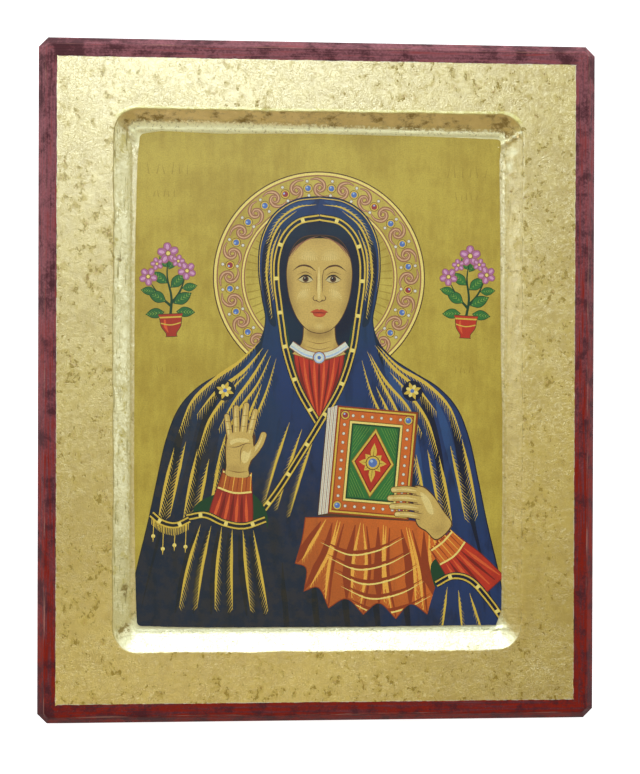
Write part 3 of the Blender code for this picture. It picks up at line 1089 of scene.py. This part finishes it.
def paint_book(brush):
    """A closed book with a jewelled cover. Its middle is the cover's middle."""
    x, y = BOOK_HALF_WIDTH, BOOK_HALF_HEIGHT
    brush.add("line", [(-x - 4.4, -y - 1.4), (x + 0.4, -y - 0.4), (x + 0.4, y + 0.4), (-x - 4.4, y - 1.2)])
    brush.add("white", [(-x - 4.0, -y - 1.0), (-x, -y), (-x, y), (-x - 4.0, y - 1.6)])
    for k in range(5):
        left = -x - 3.5 + 0.75 * k
        paint = "orange_deep" if k % 2 else "scroll_light"
        brush.stroke(paint, [(left, -y - 0.8 + 0.2 * k), (left, y - 1.4 + 0.24 * k)], (0.13, 0.13))
    for paint, inset in (
        ("orange_deep", 0), ("gold", 0.7), ("orange_deep", 1.5), ("orange", 2.0), ("gold_deep", 5.9),
        ("gold_light", 6.3), ("green_deep", 7.2), ("green", 7.9),
    ):
        frame_of(brush, paint, inset)
    width, height = x - 8.4, y - 8.4
    for side in (1, -1):
        for k in range(6):
            for flip in (side, -side):
                top = (flip * width * (0.25 + 0.13 * k), side * height)
                edge = (flip * width, side * height * (0.2 + 0.13 * k))
                brush.stroke("green_light", [top, edge], (0.05, 0.22, 0.05))
    for paint, share in (("gold_deep", 1.0), ("gold", 0.96), ("tunic_deep", 0.86), ("tunic", 0.8)):
        brush.add(paint, [
            (0, height * share), (width * share, 0), (0, -height * share), (-width * share, 0),
        ])
    for k in range(8):
        petal = brush.at(0, 0, 45 * k)
        reach = 5.2 if k % 2 else (8.8 if k % 4 == 0 else 6.2)
        petal.area("gold", [(0, 1.2), (1.4, reach * 0.55), (0, reach, 1), (-1.4, reach * 0.55)], 0.7)
        petal.stroke("gold_deep", [(0, 2.2), (0, reach * 0.8)], (0.18, 0.05))
    gem(brush, 0, 0, 2.0)
    for k in range(9):
        for side in (x - 3.9, 3.9 - x):
            pearl(brush, side, (k - 4) * (y - 6.6) / 4.4, 0.6)
    for k in range(6):
        for side in (y - 3.9, 3.9 - y):
            pearl(brush, (k - 2.5) * (x - 6.6) / 2.7, side, 0.6)
    for side in (1, -1):
        for end in (1, -1):
            gem(brush, side * (x - 3.9), end * (y - 3.9), 1.3, "gem" if side * end > 0 else "gem_red")


CLOTH = (
    (-6, -60, 1), (18, -60), (44, -62), (57, -68, 1), (60.5, -79), (58.5, -90), (61, -100, 1), (53, -97.5),
    (48.5, -103.5, 1), (41, -99), (34.5, -105.5, 1), (27, -98.5), (20, -103.5, 1), (12.5, -96.5),
    (4.5, -100.5, 1), (0, -91.5), (-6.5, -93, 1), (-5.5, -83), (-10.5, -80.5, 1), (-7.5, -70),
)
FOLD_FEET = (
    (-9.5, -80), (-6, -92), (4.5, -99.5), (12.5, -97), (20, -102.5), (27, -99), (34.5, -104.5),
    (41, -100), (48.5, -102.5), (53, -98), (60, -99),
)


def paint_cloth(brush):
    """An orange cloth that falls in folds from under the book and the hand."""
    inside = brush.rimmed("orange_deep", "orange", list(CLOTH), 0.4)
    for k, foot in enumerate(FOLD_FEET):
        head = (1 + 5.1 * k, -62 - 0.5 * k)
        bend = 2.2 * math.sin(k * 1.9)
        fold = [head, ((head[0] + foot[0]) / 2 + bend, (head[1] + foot[1]) / 2), foot]
        deep = k % 2 == 1 or k == 0
        inside.stroke("orange_deep", fold, (0.2, 1.5 if deep else 0.7, 2.2 if deep else 0.6, 0.3))
        lit = [(x + (2.3 if deep else -1.6), y + 1) for x, y in fold]
        inside.stroke("orange_light", lit, (0.1, 0.6, 0.75, 0.1))
        inside.comb("orange_light", lit, 16, 4.6, 30 if deep else -30, 0.6)
    for k in range(5):
        y = -70 - 6.5 * k
        swing = [(1 + 3 * k, y), (14 + 3 * k, y - 5.5), (27 + 3 * k, y - 3.5), (38 + 3 * k, y + 2)]
        inside.stroke("orange_deep", swing, (0.05, 0.8, 0.6, 0.05))
        inside.stroke("gold_light", [(x, yy - 1.3) for x, yy in swing], (0.05, 0.35, 0.35, 0.05))


def sprig(brush):
    """A small flowering plant in a pot, about 42 mm tall. Its middle is the pot's rim."""
    for points in (
        [(0, 0), (0.8, 8), (-0.6, 17), (0.3, 26)], [(0.5, 5), (4.5, 10), (7.5, 17)],
        [(0.4, 4), (-4.5, 9), (-8.2, 15)],
    ):
        brush.stroke("green_deep", points, (0.6, 0.45, 0.15))
    for x, y, turn, size in (
        (1.5, 5, -62, 1.0), (-1.5, 6, 58, 1.0), (0.6, 12, -48, 0.95), (-0.6, 14, 50, 0.9),
        (5.5, 11.5, -82, 0.75), (-5.6, 10.5, 80, 0.75), (0.2, 20, -30, 0.7), (-0.3, 21, 34, 0.65),
        (7.2, 15.4, -20, 0.6), (-7.8, 14, 18, 0.6), (2.5, 1.5, -95, 0.9), (-2.5, 1.5, 95, 0.9),
    ):
        leaf = brush.at(x, y, turn, size)
        leaf.area("green_deep", [(0, 0, 1), (2.4, 3.2), (2.1, 6.4), (0, 9.4, 1), (-2.1, 6.4), (-2.4, 3.2)])
        leaf.area("green", [(0, 0.4, 1), (2.1, 3.3), (1.8, 6.2), (0, 8.9, 1), (-1.8, 6.2), (-2.1, 3.3)])
        leaf.comb("green_light", [(0, 0.6), (0, 8.2)], 6, 2.4, 40, 0.4)
        leaf.comb("green_light", [(0, 0.6), (0, 8.2)], 6, 2.4, -40, 0.4)
    for x, y, size in (
        (0.3, 27.2, 1.0), (8.2, 19.2, 0.85), (-8.9, 17.4, 0.85), (4.6, 23.6, 0.6), (-4.8, 22.8, 0.6),
    ):
        flower = brush.at(x, y, 12 * x, size)
        for k in range(5):
            petal = flower.at(0, 0, 72 * k)
            petal.area("scroll", [(0, 0), (1.9, 2.0), (1.4, 4.4), (0, 4.9), (-1.4, 4.4), (-1.9, 2.0)])
            petal.area("rose", [(0, 0.3), (1.6, 2.0), (1.2, 4.1), (0, 4.6), (-1.2, 4.1), (-1.6, 2.0)])
            petal.area("rose_light", [(0, 1.6), (0.7, 2.4), (0.5, 3.8), (0, 4.1), (-0.5, 3.8), (-0.7, 2.4)])
        flower.disc("gold_deep", 0, 0, 1.3, 10)
        flower.disc("gold_light", 0, 0, 0.9, 9)
    pot = brush.rimmed("line", "tunic", [
        (-5.4, 0.7, 1), (5.4, 0.7, 1), (5.0, -1.3, 1), (4.4, -5), (2.4, -8.1), (2.7, -9.6, 1),
        (-2.7, -9.6, 1), (-2.4, -8.1), (-4.4, -5), (-5.0, -1.3, 1),
    ], 0.3)
    pot.stroke("tunic_light", [(-2.6, -1.8), (-2.5, -4.6), (-1.3, -7.6)], (0.3, 0.7, 0.1))
    pot.stroke("gold", [(-5.2, -0.9), (5.2, -0.9)], (0.35, 0.35))
    pot.stroke("gold", [(-4.6, -3.4), (0, -4.3), (4.6, -3.4)], (0.25, 0.25))


def faint_strokes(brush, x, y, count, height, seed):
    """A row of faint strokes of uneven lean and height."""
    for k in range(count):
        left = x + k * height * 0.62
        lean = 0.2 * height * math.sin(seed + 2.7 * k)
        drop = 0.15 * height * (1 + math.sin(seed + 4.1 * k))
        brush.stroke("ground_line", [(left, y), (left + lean, y + height - drop)], (0.25, 0.36, 0.1))


def fringe(brush, points, tassels):
    """Short threads and longer tassels along a hem."""
    line = smooth_line(points, False)
    for x, y in along(line, np.linspace(0.02, 0.98, tassels * 6))[0]:
        brush.stroke("gold", [(x, y), (x - 0.15, y - 3.0)], (0.2, 0.12))
    for i, (x, y) in enumerate(along(line, np.linspace(0.08, 0.92, tassels))[0]):
        drop = 6.6 + 2.6 * (i % 2)
        brush.stroke("gold", [(x, y), (x - 0.3, y - drop)], (0.2, 0.18))
        brush.disc("gold_light", x - 0.3, y - drop - 0.7, 0.9, 9)
        brush.stroke("gold", [(x - 0.3, y - drop - 1.0), (x - 0.4, y - drop - 3.4)], (0.35, 0.5, 0.05))


def paint_folds(brush):
    """Mantle folds in front of the body, over the forearms and at the foot."""
    front = [(-2, -24), (-8, -42), (-13, -60)]
    for k in range(3):
        brush.wing([(x - 5.5 * k, y + 3 * k) for x, y in front], 5.0, -32, 0.6)
    for k in range(5):
        left, foot = -16 + 13.5 * k, -116
        brush.stroke("mantle_deep", [(left, -80), (left + 1, -98), (left + 3, foot)], (0.1, 1.5, 0.9))


def paint_picture():
    """All painted shapes in the order they were laid on."""
    shapes = []
    brush = Brush(shapes)
    brush.add("ground", [(-90, -120), (90, -120), (90, 120), (-90, 120)])
    paint_halo(brush)
    for side in (1, -1):
        faint_strokes(brush, 66 * side - 9, 91, 6, 5.4, side)
        faint_strokes(brush, 67 * side - 6, 81, 5, 3.6, 3 + side)
        faint_strokes(brush, 66 * side - 5, 4, 5, 3.2, 5 + side)
        sprig(brush.at(65.5 * side, 29, -3 * side))
    paint_mantle(brush)
    paint_folds(brush)
    paint_head(brush)
    edge_band(brush, [(-p[0], p[1]) for p in OPENING_HALF], 7)
    edge_band(brush, [(p[0], p[1]) for p in OPENING_HALF] + [(-8.5, -33), (-18, -48), (-27, -60)], 10)
    paint_cloth(brush)
    brush.area("green_deep", [
        (-55, -56), (-46, -50), (-32, -48), (-23, -58), (-25, -70), (-40, -72), (-52, -66),
    ])
    sleeve(brush.at(-36.2, -41.5, -8))
    raised_hand(brush.at(-34.5, -28, -5))
    over = [
        (-58, -60, 1), (-50, -59), (-42, -62.5), (-33, -64), (-23.5, -61, 1), (-19.5, -80), (-16, -98),
        (-15, -118, 1), (-70, -118, 1), (-66, -84),
    ]
    brush.area("mantle", over)
    for k in range(6):
        line = between(
            [(-53, -63), (-59, -82), (-63, -100)], [(-27, -66), (-23, -84), (-19, -102)],
            (k + 0.2) / 5.6,
        )
        brush.stroke("mantle_deep", [(x - 1.6, y - 2) for x, y in line], (0.3, 1.5, 1.2, 0.3))
        brush.wing(line, 6.0, -32 if k % 2 else 32, 0.65)
    edge_band(brush, over[:5], 3)
    brush.area("green_deep", [(50, -84), (54, -78), (66, -80), (76, -92), (70, -102), (56, -98)])
    sleeve(brush.at(55.5, -71.5, 42))
    paint_book(brush.at(24, -36, -5))
    holding_hand(brush.at(43.5, -55.5, 4))
    over = [
        (52.5, -90, 1), (60, -86.5), (68, -88.5), (76, -97), (84, -108, 1), (90, -118, 1),
        (46, -118, 1), (49, -102),
    ]
    brush.area("mantle", over)
    for k in range(3):
        line = between(
            [(56, -91), (54, -102), (52, -113)], [(71, -95), (76, -105), (81, -114)], (k + 0.3) / 3,
        )
        brush.wing(line, 4.4, 30 if k % 2 else -30, 0.5)
    edge_band(brush, over[:5], 3)
    hem = [(-73.6, -58.5), (-69, -62.2), (-63, -63.5), (-57, -61)]
    edge_band(brush, hem, 2)
    fringe(brush, [(x, y - 1.4) for x, y in hem], 4)
    return shapes


# Picture sheet: surface

SHEET_CORNER = 1.8

# How far the hand-cut sheet stands out from its plain outline: place along the side, amount
LEFT_CUT = ((-109, -1.2), (-92, -0.6), (-45, 0.2), (20, 0.2), (65, -0.1), (97, -0.9), (109, -1.9))
RIGHT_CUT = ((-98, 0.9), (-50, 1.1), (-15, 1.0), (10, 0.2), (60, -0.3), (98, -0.8), (105, -0.2))
TOP_CUT = ((-81, -0.9), (-70, 0.5), (-45, -0.3), (0, 0.2), (50, -0.3), (81, -1.2))
BOTTOM_CUT = ((-81, -1.8), (-65, -1.2), (-45, -0.8), (20, -0.6), (65, -1.0), (81, -1.0))
CORNER_CUT_LINE = (81.9, -101.5, 0.36)
SKIN_PAINTS = ("skin", "skin_light", "skin_shade", "eye", "lip")
CLOTH_PAINTS = {
    "mantle": 1.0, "mantle_light": 1.0, "mantle_deep": 1.0, "tunic": 0.4, "orange": 0.35, "green": 0.5,
}
GROUND_PAINTS = ("ground", "ground_line", "halo")


def sheet_rim():
    """The sheet's outline, a little uneven, with its lower right corner cut off."""
    rim = []
    for x, y in outline(SHEET_HALF_WIDTH, SHEET_HALF_LENGTH, SHEET_CORNER, True):
        beside = min(max((abs(x) - SHEET_HALF_WIDTH + 12) / 10, 0), 1)
        at_end = min(max((abs(y) - SHEET_HALF_LENGTH + 12) / 10, 0), 1)
        across, up = zip(*(RIGHT_CUT if x > 0 else LEFT_CUT)), zip(*(TOP_CUT if y > 0 else BOTTOM_CUT))
        moved_x = x + np.sign(x) * np.interp(y, *across) * beside + 0.12 * rough(x, y, 0, 2.4, 41.0)
        moved_y = y + np.sign(y) * np.interp(x, *up) * at_end + 0.12 * rough(x, y, 0, 2.4, 43.0)
        if x > 60 and y < -60:
            edge, start, lean = CORNER_CUT_LINE
            moved_x = min(moved_x, edge - max(0.0, start - moved_y) * lean)
        rim.append((moved_x, moved_y))
    return np.array(rim)


def covers(outline, places):
    """Whether each place lies inside an outline, which may cross itself."""
    ax, ay = outline.T
    bx, by = np.roll(outline, -1, 0).T
    result = np.zeros(len(places), bool)
    for first in range(0, len(places), 2048):
        x, y = places[first:first + 2048].T[:, :, None]
        side = (bx - ax) * (y - ay) - (by - ay) * (x - ax)
        up = (ay <= y) & (by > y) & (side > 0)
        down = (ay > y) & (by <= y) & (side < 0)
        result[first:first + 2048] = up.sum(1) != down.sum(1)
    return result


def visible_shapes(shapes, places):
    """For each place, the number of the last shape painted over it."""
    seen = np.full(len(places), 0)
    left = np.arange(len(places))
    for number in range(len(shapes) - 1, 0, -1):
        _, outline, clip = shapes[number]
        low, high = outline.min(0), outline.max(0)
        near = left[np.all((places[left] >= low) & (places[left] <= high), 1)]
        near = near[covers(outline, places[near])]
        if clip is not None:
            near = near[covers(clip, places[near])]
        if len(near):
            seen[near] = number
            left = left[seen[left] == 0]
    return seen


def painted_triangles(shapes, rim):
    """Triangles of the sheet's face, none of which crosses a painted edge, and their paints."""
    corners = []
    edges = []
    for outline in [rim] + [shape[1] for shape in shapes]:
        first = len(corners)
        count = len(outline)
        corners += [Vector(point) for point in outline]
        edges += [(first + i, first + (i + 1) % count) for i in range(count)]
    points, _, faces, *_ = delaunay_2d_cdt(corners, edges, [], 0, 0.004, False)
    points = np.array([tuple(point) for point in points])
    faces = np.array(faces)
    middles = points[faces].mean(1)
    kept = covers(rim, middles)
    faces, middles = faces[kept], middles[kept]
    numbers = visible_shapes(shapes, middles)
    return points, faces, [shapes[number][0] for number in numbers]


def linear(color):
    """A seen colour from 0 to 255 as the light it reflects."""
    return [((c / 255 + 0.055) / 1.055) ** 2.4 if c > 10 else c / 3294 for c in color]


# Soft shades on the skin: middle, two radii and amount. The face's are the same left and right.
FACE_SHADES = (
    (14.2, 40.0, 5.6, 26.0, 0.95), (6.2, 47.6, 6.2, 3.6, 0.55), (1.9, 44.0, 1.7, 7.5, 0.5),
    (1.6, 34.6, 2.6, 1.6, 0.45), (0.0, 27.0, 4.4, 1.7, 0.5), (10.2, 31.0, 4.4, 8.0, 0.5),
    (0.0, 20.6, 10.0, 4.6, 0.9), (7.4, 15.0, 3.2, 6.0, 0.7), (0.0, 62.5, 12.0, 4.0, 0.45),
    (4.6, 22.6, 4.0, 4.0, 0.5),
)
FACE_LIGHTS = (
    (5.0, 56.0, 8.0, 5.0, 0.6), (6.8, 38.6, 4.8, 5.0, 0.65), (0.0, 36.8, 1.9, 1.8, 0.6),
    (0.0, 24.4, 3.6, 2.6, 0.6), (6.0, 42.2, 4.0, 1.3, 0.35), (0.0, 33.0, 2.6, 1.4, 0.35),
    (0.0, 13.8, 5.0, 2.4, 0.4),
)
HAND_SHADES = (
    (-37.0, -38.5, 8.0, 4.0, 0.6), (-41.4, -29.0, 3.0, 9.0, 0.55), (-33.6, -29.4, 3.6, 3.4, 0.35),
    (-27.0, -32.0, 3.0, 6.0, 0.4), (53.5, -66.0, 7.0, 5.0, 0.65), (44.8, -60.5, 3.4, 6.0, 0.5),
    (33.0, -53.0, 3.0, 8.0, 0.35), (55.5, -59.0, 3.6, 8.0, 0.45),
)
HAND_LIGHTS = (
    (-38.6, -25.0, 4.0, 3.0, 0.5), (-31.0, -32.5, 3.4, 4.0, 0.6), (47.5, -51.5, 5.0, 4.0, 0.6),
    (50.5, -57.5, 3.4, 5.0, 0.45),
)


def picture_finish():
    """Satin varnished paint: each shape's own colour with brush marks, soft folds and skin shades."""
    finish = Finish("painted_picture")
    paint = finish.node("ShaderNodeAttribute", {"attribute_name": "paint"}, {})
    kind = finish.node("ShaderNodeAttribute", {"attribute_name": "kind"}, {})
    skin, cloth, ground = finish.split(kind)
    folded = finish.node("ShaderNodeCombineXYZ", {}, {0: abs(finish.x), 1: finish.y, 2: SHEET_TOP})
    shade = soft_spots(finish, folded, SHEET_TOP, FACE_SHADES)
    shade = shade + soft_spots(finish, finish.place, 0.0, HAND_SHADES)
    light = soft_spots(finish, folded, SHEET_TOP, FACE_LIGHTS)
    light = light + soft_spots(finish, finish.place, 0.0, HAND_LIGHTS)
    color = finish.mix(finish.step(shade, 0.0, 1.6) * skin * 0.9, paint, linear((128, 92, 44)))
    color = finish.mix(finish.step(light, 0.0, 1.4) * skin * 0.75, color, linear((232, 206, 138)))
    fold = finish.noise(9.0, 4.0, 0.6, stretch=(1.5, 0.4, 1), shift=510.0, distortion=0.8)
    color = finish.mix(finish.step(fold, 0.46, 0.72) * cloth * 0.5, color, linear((16, 20, 34)))
    # The cloth is darkest at the lower left, and a little green elsewhere
    low = finish.y + finish.x * 1.2 + finish.noise(30.0, 3.0, shift=515.0) * 60.0
    low = finish.step(low, 30.0, -70.0)
    mottled = finish.step(finish.noise(5.0, 5.0, 0.65, shift=519.0), 0.42, 0.58)
    deep = finish.mix(mottled, linear((26, 31, 33)), linear((46, 40, 28)))
    color = finish.mix(low * cloth * 0.8, color, deep)
    teal = finish.step(finish.noise(24.0, 3.0, shift=517.0) - finish.x * 0.002, 0.42, 0.62)
    color = finish.mix(teal * cloth * cloth * (0.35 - low * 0.3), color, linear((24, 56, 74)))
    # The gold ground is browner in worn, brushed patches
    patch = finish.noise(26.0, 3.0, 0.55, shift=520.0)
    streak = finish.noise(2.4, 5.0, 0.62, stretch=(1, 0.16, 1), shift=530.0)
    cloud = finish.noise(6.0, 5.0, 0.6, shift=540.0)
    tired = finish.step(patch * 0.5 + streak * 0.35 + cloud * 0.3, 0.44, 0.74)
    color = finish.mix(tired * ground * 0.55, color, linear((152, 120, 36)))
    grain = finish.noise(0.55, 3.0, 0.6, shift=550.0)
    color = finish.mix(finish.step(grain, 0.35, 0.75) * 0.22, color, linear((60, 52, 34)))
    brush = finish.noise(1.3, 4.0, 0.6, stretch=(1, 0.3, 1), shift=560.0)
    normal = finish.bump(brush * 0.7 + grain * 0.3, 0.25, 0.08)
    roughness = 0.40 + cloud * 0.14
    constants = {"Coat Weight": 0.16, "Coat Roughness": 0.30, "Specular IOR Level": 0.25}
    return finish.close(finish.shader(color, roughness, 0.0, normal, **constants))


def build_sheet():
    """The picture sheet: painted triangles on top, closed at the rim and underneath."""
    shapes = paint_picture()
    points, faces, paints = painted_triangles(shapes, sheet_rim())
    colors = {name: (*linear(color), 1.0) for name, color in PALETTE.items()}
    kinds = {
        name: (float(name in SKIN_PAINTS), CLOTH_PAINTS.get(name, 0.0), float(name in GROUND_PAINTS), 1.0)
        for name in PALETTE
    }
    mesh = bmesh.new()
    paint_layer = mesh.loops.layers.float_color.new("paint")
    kind_layer = mesh.loops.layers.float_color.new("kind")
    used = np.unique(faces)
    verts = {i: mesh.verts.new((*points[i], SHEET_TOP)) for i in used.tolist()}
    for corners, name in zip(faces.tolist(), paints):
        face = mesh.faces.new([verts[i] for i in corners])
        for loop in face.loops:
            loop[paint_layer] = colors[name]
            loop[kind_layer] = kinds[name]
    rim_edges = [edge for edge in mesh.edges if edge.is_boundary]
    made = bmesh.ops.extrude_edge_only(mesh, edges=rim_edges)["geom"]
    lower = [item for item in made if isinstance(item, bmesh.types.BMVert)]
    bmesh.ops.translate(mesh, vec=(0, 0, SHEET_UNDER - SHEET_TOP), verts=lower)
    rim_edges = [edge for edge in mesh.edges if edge.is_boundary]
    bmesh.ops.holes_fill(mesh, edges=rim_edges, sides=0)
    return finish_piece("picture_sheet_painted", mesh, [picture_finish()], 30)


# Studio

FLOOR_HALF_SIZE = 12000.0
FLOOR_DROP = 0.2
FLOOR_GREY = (0.50, 0.50, 0.50)
FLOOR_GLOW = 0.90
SKY_COLOR = (1.0, 0.99, 0.97, 1.0)
SKY_STRENGTH = 0.15
COOL = (0.86, 1.0, 1.03)
WARM = (1.0, 0.84, 0.52)
# Soft lights that face the panel: name, place and size in metres, power and colour
LIGHTS = (
    ("window", (-0.2, 2.7, 1.3), (2.2, 1.3), 64.5, COOL),
    ("overhead", (-0.35, 1.6, 2.5), (1.5, 2.0), 48.5, COOL),
    ("left_wall", (-2.7, 0.9, 0.75), (1.6, 1.2), 22.0, COOL),
    ("right_wall", (2.7, 0.3, 0.75), (1.6, 1.2), 24.2, COOL),
    ("near_wall", (-0.5, -2.7, 0.8), (1.4, 1.2), 20.0, WARM),
    ("lamp", (-0.15, -0.9, 2.4), (0.5, 0.3), 2.0, (1.0, 0.86, 0.50)),
)


def add_area_light(name, place, size, power, color):
    """A rectangular soft light that faces the frame's origin."""
    light = bpy.data.lights.new(name, "AREA")
    light.shape = "RECTANGLE"
    light.size, light.size_y = size
    light.energy = power
    light.color = color
    holder = bpy.data.objects.new(name, light)
    holder.location = place
    holder.rotation_euler = (-Vector(place)).to_track_quat("-Z", "Y").to_euler()
    bpy.context.scene.collection.objects.link(holder)


def add_studio():
    """A pale floor, a soft sky and the soft lights."""
    mesh = bmesh.new()
    bmesh.ops.create_grid(mesh, x_segments=1, y_segments=1, size=FLOOR_HALF_SIZE)
    bmesh.ops.translate(mesh, vec=(0, 0, -FLOOR_DROP), verts=mesh.verts)
    finish = Finish("pale_floor")
    normal = finish.bump(finish.noise(30.0), 0.05, 0.1)
    glow = {"Emission Color": (1.0, 1.0, 1.0, 1.0), "Emission Strength": FLOOR_GLOW}
    pale = finish.shader(FLOOR_GREY, 0.9, 0.0, normal, **glow)
    floor = finish_piece("floor", mesh, [finish.close(pale)], 30)
    world = bpy.data.worlds.new("studio")
    bpy.context.scene.world = world
    world.use_nodes = True
    background = world.node_tree.nodes["Background"]
    background.inputs["Color"].default_value = SKY_COLOR
    background.inputs["Strength"].default_value = SKY_STRENGTH
    for light in LIGHTS:
        add_area_light(*light)
    bpy.context.scene.view_settings.view_transform = "Standard"


def add_camera():
    """The photograph's viewpoint: almost straight above, a little to the left."""
    camera = bpy.data.cameras.new("camera")
    camera.sensor_width = SENSOR
    camera.lens = FOCAL_PIXELS * SENSOR / max(PHOTO_WIDTH, PHOTO_HEIGHT)
    holder = bpy.data.objects.new("camera", camera)
    holder.location = CAMERA_PLACE
    holder.rotation_euler = CAMERA_TURN
    bpy.context.scene.collection.objects.link(holder)
    bpy.context.scene.camera = holder


def main():
    add_camera()
    add_studio()
    board = build_board()
    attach(board, "root")
    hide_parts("board")
    sheet = build_sheet()
    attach(sheet, "root")
    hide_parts("picture_sheet")


main()
